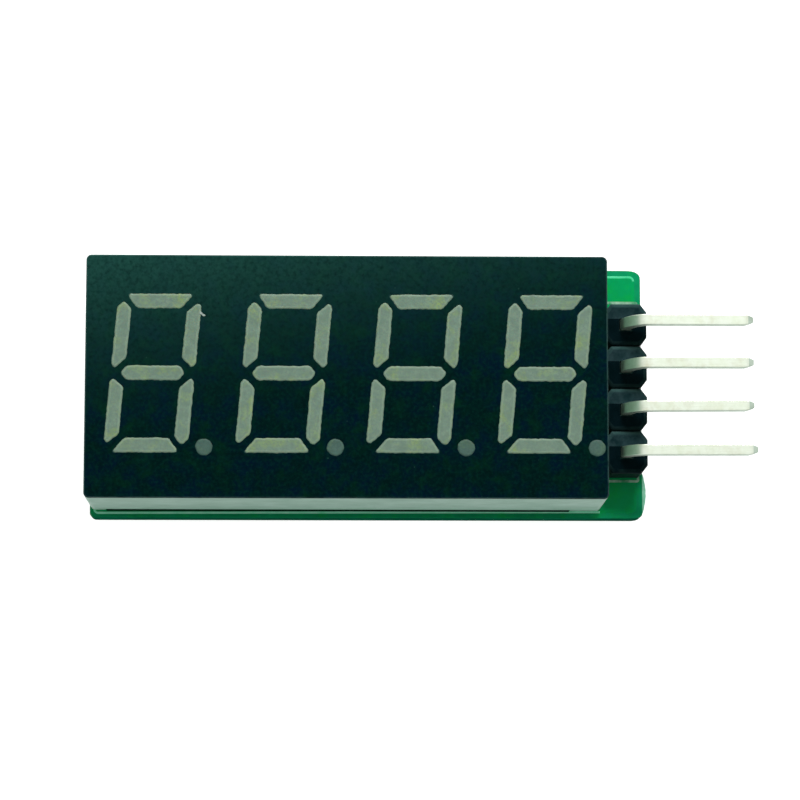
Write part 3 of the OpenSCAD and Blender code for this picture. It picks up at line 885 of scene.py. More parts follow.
@dataclass(frozen=True)
class Outline:
    """A closed outline with round corners and, where asked, slightly uneven sides.

    The power says how much the rounding of a sharp corner is wider than that of a blunt one. Sides can be
    cut into bits of one length.
    """

    corners: Sequence[Point2]
    radius: float = 0.0
    power: float = 0.0
    steps: int = 5
    bit: float = 0.0
    unevenness: float = 0.0

    def ring(self, inward: float = 0.0) -> list[Point2]:
        """Returns the outline moved inwards, always with the same number of points.

        Args:
            inward: How far inwards, or outwards if it is negative.

        Returns:
            The outline's points.
        """
        points = self.smooth_ring(inward)
        if not self.unevenness:
            return points
        first = self.smooth_ring(0.0)
        return [(p[0] + s[0], p[1] + s[1]) for p, s in zip(points, map(self.shift, first))]

    def smooth_ring(self, inward: float) -> list[Point2]:
        """Returns the ring without its unevenness."""
        arcs = self.arcs(inset(self.corners, inward), inward)
        points = []
        for k, arc in enumerate(arcs):
            points += arc
            here, there = Vector(arc[-1]), Vector(arcs[(k + 1) % len(arcs)][0])
            side = (Vector(self.corners[k]) - Vector(self.corners[(k + 1) % len(arcs)])).length
            bits = math.ceil(side / self.bit) if self.bit else 1
            points += [tuple(here.lerp(there, j / bits)) for j in range(1, bits)]
        return points

    def arcs(self, corners: Sequence[Point2], inward: float) -> list[list[Point2]]:
        """Returns the points of each corner's rounding."""
        if not self.radius:
            return [[corner] for corner in corners]
        arcs = []
        for k, corner in enumerate(corners):
            here = Vector(corner)
            after, before = Vector(corners[(k + 1) % len(corners)]) - here, here - Vector(corners[k - 1])
            turn = math.atan2(before.x * after.y - before.y * after.x, before.dot(after))
            full = self.radius * ((math.pi - abs(turn)) / math.radians(120)) ** self.power
            size = max(full - math.copysign(inward, turn), 0.2 * full)
            reach = min(size * math.tan(abs(turn) / 2), 0.45 * before.length, 0.45 * after.length)
            start, end = here - before.normalized() * reach, here + after.normalized() * reach
            bend = math.cos(turn / 2)
            arc = []
            for j in range(self.steps + 1):
                t = j / self.steps
                weights = ((1 - t) ** 2, 2 * t * (1 - t) * bend, t ** 2)
                spot = (start * weights[0] + here * weights[1] + end * weights[2]) / sum(weights)
                arc.append((spot.x, spot.y))
            arcs.append(arc)
        return arcs

    def shift(self, point: Point2) -> Point2:
        """Returns how far a point is moved to make the outline uneven."""
        place = Vector((point[0], point[1], 0))
        coarse, fine = noise.noise_vector(place / (0.5 * MM)), noise.noise_vector(place / (0.16 * MM))
        both = (coarse * 0.6 + fine) * self.unevenness
        return both.x, both.y


def rectangle(low: Point2, high: Point2) -> list[Point2]:
    """Returns a rectangle's corners."""
    return [(low[0], low[1]), (high[0], low[1]), (high[0], high[1]), (low[0], high[1])]


def circle(centre: Point2, radius: float, steps: int = 40) -> list[Point2]:
    """Returns points on a circle."""
    turns = [2 * math.pi * k / steps for k in range(steps)]
    return [(centre[0] + radius * math.cos(a), centre[1] + radius * math.sin(a)) for a in turns]


def area_of(outline: Sequence[Point2]) -> float:
    """Returns an outline's area, which is negative if it runs clockwise."""
    pairs = zip(outline, [*outline[1:], outline[0]])
    return sum(a[0] * b[1] - b[0] * a[1] for a, b in pairs) / 2


def level_outlines(node: str, level: float) -> list[list[Point2]]:
    """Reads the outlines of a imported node's flat face at a height.

    Args:
        node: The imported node's name.
        level: The face's height.

    Returns:
        Its outer outline and then its holes, without points on straight sides.
    """
    mesh = cad_copy(node)
    follow: dict[Corner, list[Corner]] = {}
    for edge in mesh.edges:
        flat = [f for f in edge.link_faces if abs(f.normal.z) > 0.99]
        if at_level(edge, level) and len(flat) == 1:
            for a, b in (edge.verts, reversed(edge.verts)):
                follow.setdefault(a, []).append(b)
    outlines = []
    while follow:
        first = here = next(iter(follow))
        ring, came = [], None
        while here in follow:
            ring.append((here.co.x, here.co.y))
            ways = [v for v in follow.pop(here) if v is not came]
            came, here = here, next((v for v in ways if v in follow or v is first), first)
        outlines.append(straightened(ring))
    mesh.free()
    return sorted(outlines, key=area_of, reverse=True)


def straightened(ring: Sequence[Point2]) -> list[Point2]:
    """Drops an outline's points that lie on straight sides and makes it run anticlockwise."""
    kept = []
    for k, corner in enumerate(ring):
        before = Vector(corner) - Vector(ring[k - 1])
        after = Vector(ring[(k + 1) % len(ring)]) - Vector(corner)
        if abs(before.normalized().cross(after.normalized())) > 0.01:
            kept.append(corner)
    return kept if area_of(kept) > 0 else kept[::-1]


def middle_of(outline: Sequence[Point2]) -> Vector:
    """Returns the mean of an outline's points."""
    return sum((Vector(p) for p in outline), Vector((0, 0))) / len(outline)


def radii_of(outline: Sequence[Point2]) -> list[float]:
    """Returns the distances of an outline's points from its middle."""
    centre = middle_of(outline)
    return [(Vector(p) - centre).length for p in outline]


def is_round(outline: Sequence[Point2]) -> bool:
    """Tells whether an outline is a circle cut into straight bits."""
    radii = radii_of(outline)
    return len(outline) > 9 and max(radii) - min(radii) < 0.02 * MM


@dataclass(frozen=True)
class Rounding:
    """A rounded rim: how far it reaches inwards and how high it is."""

    width: float = 0.0
    height: float = 0.0
    steps: int = 3

    def rise(self) -> list[Point2]:
        """Returns how far in and how far under the flat each ring lies, from the side to the flat."""
        if not self.width:
            return [(0.0, 0.0)]
        turns = [math.pi / 2 * k / self.steps for k in range(self.steps + 1)]
        return [(self.width * (1 - math.cos(a)), self.height * (1 - math.sin(a))) for a in turns]


def slab(mesh: Mesh, outline: Outline, bottom: float, top: float, holes: Sequence[Outline] = (),
         rim: Rounding = Rounding(), foot: Rounding = Rounding(), lip: Rounding = Rounding()) -> None:
    """Adds an upright slab.

    Args:
        mesh: The mesh to add to.
        outline: The slab's outline.
        bottom: Its lower height.
        top: Its upper height.
        holes: The outlines of its holes.
        rim: The rounding of its upper outer edge.
        foot: The rounding of its lower outer edge.
        lip: The rounding of its holes' upper edges.
    """
    sides = [(outline, 1, rim, foot), *((hole, -1, lip, Rounding()) for hole in holes)]
    walls = []
    for shape, way, upper, lower in sides:
        levels = [(d, bottom + h) for d, h in reversed(lower.rise())]
        levels += [(d, top - h) for d, h in upper.rise()]
        rows = [ring_of(mesh, [(x, y, z) for x, y in shape.ring(way * d)]) for d, z in levels]
        skin(mesh, rows, capped=False)
        walls.append(rows)
    for end in (0, -1):
        if holes:
            edges = [mesh.edges.get((rows[end][k - 1], rows[end][k])) for rows in walls
                     for k in range(len(rows[end]))]
            bmesh.ops.triangle_fill(mesh, use_beauty=True, use_dissolve=False, edges=edges)
        else:
            mesh.faces.new(walls[0][end])
    bmesh.ops.recalc_face_normals(mesh, faces=mesh.faces)


def ribbon_outline(path: Sequence[Point2], width: float, steps: int = 4) -> list[Point2]:
    """Returns the outline of a flat ribbon with round ends along a path.

    Args:
        path: The ribbon's middle line.
        width: Its width.
        steps: The number of straight bits in each round end.

    Returns:
        The outline's points.
    """
    line = [Vector(p) for p in path]
    left, right = [], []
    for k, point in enumerate(line):
        before = (point - line[k - 1]).normalized() if k else (line[1] - point).normalized()
        after = (line[k + 1] - point).normalized() if k + 1 < len(line) else before
        middle = (before + after).normalized()
        across = Vector((-middle.y, middle.x)) * (width / 2 / max(0.4, middle.dot(before)))
        left.append(point + across)
        right.append(point - across)

    def cap(end: Vector, neighbour: Vector) -> list[Vector]:
        """Returns the inner points of a round end."""
        way = end - neighbour
        heading = math.atan2(way.y, way.x)
        turns = [heading + math.pi * (j / steps - 0.5) for j in range(1, steps)]
        return [end + Vector((math.cos(a), math.sin(a))) * width / 2 for a in turns]

    points = right + cap(line[-1], line[-2]) + left[::-1] + cap(line[0], line[1])
    return [(p.x, p.y) for p in points]


@dataclass
class Layer:
    """A thin layer on one side of the board, such as copper or print."""

    side: Side
    level: float
    thickness: float

    def __post_init__(self) -> None:
        """Starts with an empty mesh."""
        self.mesh = bmesh.new()

    def shape(self, outline: Outline, edge: float = 0.0) -> None:
        """Adds one flat shape to the layer.

        Args:
            outline: The shape's outline.
            edge: How far its visible edge is rounded.
        """
        other = self.level + self.side.value * self.thickness
        soft = Rounding(edge, self.thickness * 0.9)
        if self.side is Side.FRONT:
            slab(self.mesh, outline, self.level, other, rim=soft)
        else:
            slab(self.mesh, outline, other, self.level, foot=soft)

    def ribbon(self, path: Sequence[Point2], width: float, edge: float = 0.0) -> None:
        """Adds a ribbon along a path."""
        self.shape(Outline(ribbon_outline(path, width)), edge)

    def disc(self, centre: Point2, radius: float, edge: float = 0.0) -> None:
        """Adds a round pad."""
        self.shape(Outline(circle(centre, radius, 24)), edge)

    def frame(self, low: Point2, high: Point2, width: float) -> None:
        """Adds the outline of a rectangle, as a band of the given width."""
        outer = Outline(inset(rectangle(low, high), -width / 2), width)
        inner = Outline(inset(rectangle(low, high), width / 2), 0.2 * width)
        levels = sorted((self.level, self.level + self.side.value * self.thickness))
        slab(self.mesh, outer, *levels, holes=[inner])

    def pad(self, low: Point2, high: Point2, corner: float) -> None:
        """Adds a rectangular pad with round corners."""
        self.shape(Outline(rectangle(low, high), corner), 0.02 * MM)


def node_centre(node: str) -> Vector:
    """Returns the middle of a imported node's box."""
    low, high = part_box(node)
    return (low + high) / 2


# Display


@dataclass
class DisplayHousing:
    """White reflector body under the face."""

    edge: float = 0.05 * MM
    sharpness: float = 60.0
    reach: float = 0.35 * MM
    flare: Point2 = (0.1 * MM, 0.15 * MM)

    def build(self) -> None:
        """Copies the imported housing, widens its ends towards the board and softens its lower rims."""
        mesh = cad_copy("reflector_housing")
        low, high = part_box("reflector_housing")
        skirt = [e for e in mesh.edges if is_sharp(e, self.sharpness) and self.is_outside(e, low, high)]
        round_edges(mesh, skirt, self.edge, 2)
        for spot in (v.co for v in mesh.verts):
            depth = (high.z - spot.z) / (high.z - low.z)
            if spot.x < low.x + self.reach:
                spot.x -= depth * self.flare[0]
            elif spot.x > high.x - self.reach:
                spot.x += depth * self.flare[1]
        piece("housing_body", mesh, [Finishes.housing], "housing", ["reflector_housing"])

    def is_outside(self, edge: Edge, low: Vector, high: Vector) -> bool:
        """Tells whether an edge lies on the skirt's outer sides, below the face."""
        for corner in (v.co for v in edge.verts):
            inner_x = low.x + self.reach < corner.x < high.x - self.reach
            inner_y = low.y + self.reach < corner.y < high.y - self.reach
            if (inner_x and inner_y) or corner.z > high.z - self.reach:
                return False
        return True


@dataclass
class DisplayFace:
    """Black layer on the face, its windows, and the epoxy crowns that fill them."""

    corner: float = 0.32 * MM
    sharpness: float = 1.1
    acute: float = math.radians(75)
    stretch: float = 0.17 * MM
    bit: float = 0.1 * MM
    unevenness: float = 0.03 * MM
    growth: float = 0.014 * MM
    outer_corner: float = 0.3 * MM
    flake_height: float = 0.008 * MM
    sink: float = 0.01 * MM
    rim: Rounding = Rounding(0.08 * MM, 0.07 * MM, 4)
    lip: Rounding = Rounding(0.015 * MM, 0.015 * MM, 2)
    crown: Sequence[Point2] = (
        (0.0, 0.04 * MM), (0.02 * MM, 0.026 * MM), (0.05 * MM, 0.013 * MM),
        (0.09 * MM, 0.006 * MM), (0.14 * MM, 0.003 * MM))

    def __post_init__(self) -> None:
        """Sets the layer's level, a flake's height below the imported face."""
        self.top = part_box("face_mask")[1].z - self.flake_height

    def build(self) -> None:
        """Builds the black layer and the crowns from one set of window outlines."""
        low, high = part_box("face_mask")
        packed = level_outlines("face_mask", high.z)[1:]
        windows = [self.window(w) for w in packed]
        outer = Outline(rectangle(low.xy, high.xy), self.outer_corner, steps=8)
        mesh = bmesh.new()
        slab(mesh, outer, low.z, self.top, windows, rim=self.rim, lip=self.lip)
        piece("face_layer", mesh, [Finishes.face], "face", ["face_mask"])
        dress_node("epoxy_fill", Finishes.epoxy)
        bars = [w for w, p in zip(windows, packed) if not is_round(p)]
        points = [w for w, p in zip(windows, packed) if is_round(p)]
        self.crowns("segment_crowns", bars, Finishes.epoxy)
        self.crowns("point_crowns", points, Finishes.shaded_epoxy)

    def window(self, packed: Sequence[Point2]) -> Outline:
        """Returns a window's outline with round corners and slightly uneven sides."""
        if is_round(packed):
            return Outline(circle(middle_of(packed), max(radii_of(packed))), unevenness=self.unevenness)
        corners = self.stretched(inset(packed, -self.growth))
        return Outline(corners, self.corner, self.sharpness, 5, self.bit, self.unevenness)

    def stretched(self, corners: Sequence[Point2]) -> list[Point2]:
        """Returns a window's corners with its acute ones moved out along the longer side.

        Args:
            corners: The corners.

        Returns:
            The corners, as the blunt tips of the real windows need them.
        """
        points = [Vector(corner) for corner in corners]
        moved = []
        for k, here in enumerate(points):
            sides = here - points[k - 1], here - points[(k + 1) % len(points)]
            acute = sides[0].angle(sides[1]) < self.acute
            longer = max(sides, key=lambda side: side.length).normalized()
            moved.append(tuple(here + longer * self.stretch) if acute else tuple(here))
        return moved

    def crowns(self, name: str, windows: Sequence[Outline], finish: Finish) -> None:
        """Fills windows with low crowns of epoxy.

        Args:
            name: The piece's name.
            windows: The windows.
            finish: The crowns' finish.
        """
        mesh = bmesh.new()
        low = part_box("epoxy_fill")[1].z - self.sink
        for outline in windows:
            rows = [ring_of(mesh, [(x, y, low) for x, y in outline.ring()])]
            for inward, drop in self.crown:
                rows.append(ring_of(mesh, [(x, y, self.top - drop) for x, y in outline.ring(inward)]))
            skin(mesh, rows)
        piece(name, mesh, [finish], "epoxy", crease=70)


@dataclass
class FaceFlake:
    """Small burr of pale plastic at the edge of the first digit's upper right segment."""

    outline: Sequence[Point2] = (
        (-8.5 * MM, 3.58 * MM), (-8.38 * MM, 3.55 * MM), (-8.3 * MM, 3.46 * MM), (-8.16 * MM, 3.47 * MM),
        (-8.19 * MM, 3.56 * MM), (-8.31 * MM, 3.61 * MM), (-8.4 * MM, 3.72 * MM), (-8.5 * MM, 3.76 * MM))
    depth: float = 0.05 * MM
    rim: Rounding = Rounding(0.015 * MM, 0.006 * MM, 2)

    def build(self) -> None:
        """Lays the burr on the face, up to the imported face's level."""
        mesh = bmesh.new()
        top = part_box("face_mask")[1].z
        slab(mesh, Outline(self.outline), top - self.depth, top, rim=self.rim)
        piece("face_flake", mesh, [Finishes.flake], "housing")


@dataclass
class DisplayInside:
    """Inner board, dies and round pins of the display."""

    pins: int = 12
    chamfer: float = 0.12 * MM

    def build(self) -> None:
        """Dresses the sealed pieces and turns the pins."""
        dress_node("inner_circuit_board", Finishes.inner_board)
        dress_node("led_dice", Finishes.die)
        for i in range(1, self.pins + 1):
            self.pin(f"display_pin_{i}")

    def pin(self, node: str) -> None:
        """Turns one pin with a soft chamfer at its lower end."""
        low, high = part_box(node)
        radius, soft = (high.x - low.x) / 2, self.chamfer / 4
        mesh = bmesh.new()
        profile = [
            (radius - self.chamfer, 0), (radius - self.chamfer + soft, soft / 2),
            (radius - soft / 2, self.chamfer), (radius, self.chamfer + soft), (radius, high.z - low.z)]
        revolve(mesh, (*node_centre(node).xy, low.z), profile, steps=28)
        piece(f"{node}_turned", mesh, [Finishes.display_pin], "tinned_pin", [node])


# Board


@dataclass
class CarrierBoard:
    """Green board: lacquered faces, sawn edges, copper under the lacquer and white print."""

    tab_height: float = 0.25 * MM
    tab_layers: int = 9
    tab_steps: int = 24
    tab_trim: float = 0.02
    tab_sink: float = 0.02 * MM
    tab_fullness: float = 0.8
    bite: float = 0.35
    bite_size: float = 0.3 * MM
    corners: Sequence[Point2] = (
        (0.95 * MM, 0.55 * MM), (0.55 * MM, 0.55 * MM), (0.42 * MM, 0.3 * MM), (0.68 * MM, 0.35 * MM))
    corner_steps: int = 8
    fullness: float = 0.78
    edge: Rounding = Rounding(0.04 * MM, 0.04 * MM, 2)
    pour_low: Point2 = (0.2 * MM, 0.21 * MM)
    pour_high: Point2 = (0.36 * MM, 0.35 * MM)
    pour_corner: float = 0.3 * MM
    pour_slip: float = 0.12 * MM
    gap_ends: Point2 = (0.85 * MM, 1.75 * MM)
    gap_shade: float = 0.06 * MM
    copper: float = 0.035 * MM
    copper_edge: float = 0.25 * MM
    highlight_reach: float = 0.1 * MM
    print_width: float = 0.15 * MM
    print_height: float = 0.01 * MM
    print_low: Point2 = (0.12 * MM, 0.18 * MM)
    print_high: Point2 = (0.25 * MM, 0.44 * MM)

    def __post_init__(self) -> None:
        """Reads the board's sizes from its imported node."""
        self.low, self.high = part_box("carrier_board")
        self.right = self.high.x - self.tab_height

    def build(self) -> None:
        """Builds the board and what lies on its front."""
        self.base()
        self.tab()
        self.pour()
        self.header_print()

    def base(self) -> None:
        """Builds the board with its holes, its lacquered faces and its sawn sides."""
        mesh = bmesh.new()
        holes = [Outline(circle(middle_of(h), max(radii_of(h)), 36))
                 for h in level_outlines("carrier_board", self.high.z)[1:]]
        slab(mesh, self.outline(), self.low.z, self.high.z, holes, rim=self.edge, foot=self.edge)
        for face in mesh.faces:
            if abs(face.normal.z) < 0.5:
                face.material_index = 1
        piece("board_base", mesh, [Finishes.lacquer, Finishes.board_edge], "board", ["carrier_board"])

    def outline(self) -> Outline:
        """Returns the board's outline, each of whose corners has its own reach, from the top right round."""
        points = []
        for quarter, (wide, tall) in enumerate(self.corners):
            x = self.low.x + wide if quarter in (1, 2) else self.right - wide
            y = self.low.y + tall if quarter in (2, 3) else self.high.y - tall
            for k in range(self.corner_steps + 1):
                turn = math.pi / 2 * (quarter + k / self.corner_steps)
                across, along = math.cos(turn), math.sin(turn)
                across, along = (math.copysign(abs(v) ** self.fullness, v) for v in (across, along))
                points.append((x + wide * across, y + tall * along))
        return Outline(points)

    def tab(self) -> None:
        """Adds the torn stub of the panel tab, with loose layers."""
        corners = level_outlines("carrier_board", self.high.z)[0]
        proud = [k for k, p in enumerate(corners) if p[0] > self.right + 2 * WELD]
        ends = corners[proud[0] - 1], corners[(proud[-1] + 1) % len(corners)]
        low_y, high_y = sorted(p[1] for p in ends)
        reach = self.high.x - self.right
        mesh = bmesh.new()
        rows = []
        for k in range(self.tab_layers + 1):
            share = self.tab_trim + (1 - 2 * self.tab_trim) * k / self.tab_layers
            z = self.low.z + (self.high.z - self.low.z) * share
            row = [(self.right - self.tab_sink, y, z) for y in (high_y, low_y)]
            for j in range(self.tab_steps + 1):
                y = low_y + (high_y - low_y) * j / self.tab_steps
                bulge = math.sin(math.pi * j / self.tab_steps) ** self.tab_fullness * reach
                bite = 0.5 + 0.5 * noise.noise(Vector((y / self.bite_size, z / self.bite_size, 4.0)))
                row.append((self.right + bulge * (1 - self.bite * bite), y, z))
            rows.append(ring_of(mesh, row))
        skin(mesh, rows)
        bmesh.ops.recalc_face_normals(mesh, faces=mesh.faces)
        piece("torn_tab", mesh, [Finishes.broken_edge], "board", crease=35)

    def pour(self) -> None:
        """Adds the raised copper field under the lacquer of the front, with painted highlights on its sloped
        edge, and a dark sheet of painted shadow in the gap under the display.
        """
        left, right = self.low.x + self.pour_low[0], self.right - self.pour_high[0]
        bottom, top = self.low.y + self.pour_low[1], self.high.y - self.pour_high[1]
        corners = [(left, bottom), (right, bottom + self.pour_slip), (right, top), (left, top)]
        front = Layer(Side.FRONT, self.high.z, self.copper)
        front.shape(Outline(corners, self.pour_corner), self.copper_edge)
        low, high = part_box("reflector_housing")
        shape = [*front.mesh.verts, *front.mesh.edges, *front.mesh.faces]
        bmesh.ops.bisect_plane(
            front.mesh, geom=shape, plane_co=(high.x + self.highlight_reach, 0, 0), plane_no=(1, 0, 0))
        front.mesh.normal_update()
        # Painted highlight: the copper's sloped edge is drawn in paler lacquer, palest where it faces -Y, and
        # left plain in the lower right, where the header's shade falls
        for face in front.mesh.faces:
            middle = face.calc_center_median()
            if abs(face.normal.z) < 0.995 and (middle.y > 0 or middle.x < high.x + self.highlight_reach):
                face.material_index = 2 if face.normal.y < -0.05 else 1
        piece("front_copper", front.mesh,
              [Finishes.copper_lacquer, Finishes.thin_lacquer_and_highlight, Finishes.highlight_lacquer], "board")
        # Painted shadow: a dark sheet under the display, reaching a little past its lower side, where the gap
        # beneath the skirt lies in shade
        shadow_low = (low.x + self.gap_ends[0], low.y - self.gap_shade)
        shadow_high = (high.x - self.gap_ends[1], high.y)
        shadow_sheet = Layer(Side.FRONT, self.high.z + self.copper, self.print_height)
        shadow_sheet.shape(Outline(rectangle(shadow_low, shadow_high)))
        piece("painted_gap_shadow", shadow_sheet.mesh, [Finishes.gap_shadow_lacquer], "board")

    def header_print(self) -> None:
        """Prints the white outline round the header."""
        low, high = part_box("header_insulator")
        left, right = low.x - self.print_low[0], self.right - self.print_high[0]
        bottom, top = low.y - self.print_low[1], high.y + self.print_high[1]
        ink = Layer(Side.FRONT, self.high.z + self.copper, self.print_height)
        ink.frame((left, bottom), (right, top), self.print_width)
        piece("header_outline_print", ink.mesh, [Finishes.print], "board")


@dataclass
class BoardBack:
    """Tracks, pads, vias and print on the back of the board."""

    copper: float = 0.03 * MM
    track: float = 0.28 * MM
    track_edge: float = 0.05 * MM
    via_radius: float = 0.3 * MM
    via_reach: Point2 = (1.05 * MM, 0.75 * MM)
    leads: int = 8
    lead_width: float = 0.41 * MM
    lead_pad: Point2 = (0.62 * MM, 0.32 * MM)
    half_pad: float = 0.25 * MM
    half_chip_pad: float = 0.38 * MM
    pin_width: float = 0.64 * MM
    print_width: float = 0.14 * MM
    print_height: float = 0.012 * MM
    print_along: float = 0.95 * MM
    print_across: float = 0.25 * MM
    print_end: float = 17.42 * MM

    def __post_init__(self) -> None:
        """Reads the level of the board's back."""
        self.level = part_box("carrier_board")[0].z
        self.tracks = Layer(Side.BACK, self.level, self.copper)
        self.vias = Layer(Side.BACK, self.level, 1.4 * self.copper)
        self.pads = Layer(Side.BACK, self.level, 1.2 * self.copper)
        self.ink = Layer(Side.BACK, self.level, self.print_height)

    def build(self) -> None:
        """Builds the four layers."""
        self.lead_tracks()
        self.chip_tracks()
        self.prints()
        piece("back_tracks", self.tracks.mesh, [Finishes.copper_lacquer], "board")
        piece("back_vias", self.vias.mesh, [Finishes.copper_lacquer], "board")
        piece("back_pads", self.pads.mesh, [Finishes.solder], "solder")
        piece("back_print", self.ink.mesh, [Finishes.print], "board")

    def lead_tracks(self) -> None:
        """Runs a short track from each lead to a via or to the display pin beside it."""
        low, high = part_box("driver_leads")
        pitch = (high.x - low.x - self.lead_width) / (self.leads - 1)
        pins = [node_centre(f"display_pin_{i}").x for i in range(1, 7)]
        row = abs(node_centre("display_pin_1").y)
        reach = high.y
        for side in (-1, 1):
            for k in range(self.leads):
                x = low.x + self.lead_width / 2 + k * pitch
                ends = side * (reach - self.lead_pad[0]), side * (reach + self.lead_pad[1])
                self.pads.pad((x - self.half_pad, min(ends)), (x + self.half_pad, max(ends)), 0.06 * MM)
                path = [(x, side * (reach - self.half_pad))]
                nearest = min(pins, key=lambda p: abs(p - x))
                if abs(nearest - x) < 0.5 * MM:
                    path += [(x, side * (reach + 0.8 * MM)), (nearest, side * (row - 0.5 * MM))]
                else:
                    path.append((x, side * (reach + self.via_reach[k % 2])))
                    self.vias.disc(path[-1], self.via_radius, self.track_edge)
                self.run(path)

    def chip_tracks(self) -> None:
        """Joins the chips to each other and to the header."""
        small, large = node_centre("small_capacitor"), node_centre("large_capacitor")
        header = [node_centre(f"header_pin_{i}").y for i in range(1, 5)]
        pin_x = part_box("header_pin_1")[0].x + self.pin_width / 2
        for side, number, inner, outer in ((-1, 2, header[2], header[3]), (1, 1, header[1], header[0])):
            y_large = side * 0.85 * MM
            self.run([(small.x, side * 0.65 * MM), (large.x, y_large)], 2)
            resistor = node_centre(f"resistor_{number}")
            near, far = resistor.x - 0.65 * MM, resistor.x + 0.65 * MM
            self.run([(large.x, y_large), (near - 0.6 * MM, side * 0.95 * MM), (near, resistor.y)])
            turn = far + 1.4 * MM
            self.run([(far, resistor.y), (turn, resistor.y), (turn + abs(resistor.y - inner), inner),
                      (pin_x, inner)])
            self.run([(small.x, side * 0.8 * MM), (small.x, side * 3.0 * MM),
                      (small.x + abs(outer) - 3.0 * MM, outer), (pin_x, outer)], 2)
            for offset in (-0.72 * MM, 0.72 * MM):
                self.chip_pad(resistor.x + offset, resistor.y, self.half_chip_pad, 0.45 * MM)
            self.chip_pad(small.x, side * 0.72 * MM, 0.45 * MM, self.half_chip_pad)
            self.chip_pad(large.x, side * 0.92 * MM, 0.68 * MM, self.half_chip_pad)

    def run(self, path: Sequence[Point2], widths: int = 1) -> None:
        """Runs a track along a path, one or more track widths wide."""
        self.tracks.ribbon(path, widths * self.track, self.track_edge)

    def chip_pad(self, x: float, y: float, wide: float, tall: float) -> None:
        """Adds the pad under a chip's end, from its middle and half its sizes."""
        self.pads.pad((x - wide, y - tall), (x + wide, y + tall), 0.08 * MM)

    def prints(self) -> None:
        """Prints the outlines of the driver circuit, the chips and the header."""
        self.print_round("driver_body", 0.25 * MM, -0.35 * MM)
        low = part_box("driver_body")[0]
        self.ink.disc((low.x - 0.9 * MM, low.y + 0.1 * MM), 0.22 * MM)
        for name in ("small_capacitor", "large_capacitor"):
            self.print_round(name, self.print_across, self.print_along)
        for name in ("resistor_1", "resistor_2"):
            self.print_round(name, self.print_along, self.print_across)
        low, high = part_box("header_insulator")
        self.ink.frame((low.x - 0.1 * MM, low.y - 0.3 * MM), (self.print_end, high.y + 0.3 * MM),
                       self.print_width)

    def print_round(self, node: str, wide: float, tall: float) -> None:
        """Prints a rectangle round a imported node, with a margin along each axis."""
        low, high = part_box(node)
        self.ink.frame((low.x - wide, low.y - tall), (high.x + wide, high.y + tall), self.print_width)


# Header


@dataclass
class HeaderInsulator:
    """Black plastic strip of the header, whose round shouldered units meet at notches."""

    pins: int = 4
    rim: Rounding = Rounding(0.24 * MM, 0.17 * MM, 5)
    foot: Rounding = Rounding(0.06 * MM, 0.06 * MM, 2)
    corner: float = 0.1 * MM
    lip: Rounding = Rounding(0.05 * MM, 0.05 * MM, 2)
    hole_growth: float = 0.03 * MM
    unit_gap: float = 0.02 * MM
    wall: Point2 = (0.7 * MM, 0.9 * MM)
    wall_end: float = 0.3 * MM

    def build(self) -> None:
        """Builds the strip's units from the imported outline, and the wall that joins them."""
        low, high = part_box("header_insulator")
        outline, *holes = level_outlines("header_insulator", high.z)
        mesh = bmesh.new()
        pitch = (high.y - low.y) / self.pins
        for i in range(self.pins):
            bottom = low.y + i * pitch
            unit = [p for p in outline if bottom - WELD < p[1] < bottom + pitch + WELD]
            hole = next(h for h in holes if bottom < middle_of(h).y < bottom + pitch)
            slab(mesh, Outline(inset(unit, self.unit_gap), self.corner, steps=3), low.z, high.z,
                 [Outline(inset(hole, -self.hole_growth), 0.5 * self.corner, steps=3)],
                 rim=self.rim, foot=self.foot, lip=self.lip)
            self.light_and_dust_shoulder(mesh, bottom, bottom + pitch, max(p[1] for p in hole) + self.hole_growth)
        wall = rectangle((low.x + self.wall[0], low.y + self.wall_end),
                         (low.x + self.wall[1], high.y - self.wall_end))
        slab(mesh, Outline(wall), low.z + self.foot.width, high.z - self.rim.height)
        piece("header_strip", mesh, [Finishes.insulator, Finishes.lit_and_dusty_insulator], "insulator",
              ["header_insulator"])

    def light_and_dust_shoulder(self, mesh: Mesh, bottom: float, top: float, line: float) -> None:
        """Gives one unit's shoulder, above a line over its hole, the dusty finish, whose paler colour is
        painted light: the lit part of the shoulder above the pin's shadow.

        Args:
            mesh: The strip's mesh.
            bottom: The unit's lower end.
            top: The unit's upper end.
            line: Where the dust and the painted light begin.
        """
        mesh.normal_update()
        unit = [f for f in mesh.faces if bottom < f.calc_center_median().y < top and f.normal.z > 0.2]
        shape = {*unit, *(e for f in unit for e in f.edges), *(v for f in unit for v in f.verts)}
        cut = bmesh.ops.bisect_plane(mesh, geom=list(shape), plane_co=(0, line, 0), plane_no=(0, 1, 0))
        for face in cut["geom"]:
            if isinstance(face, Face) and face.calc_center_median().y > line:
                face.material_index = 1


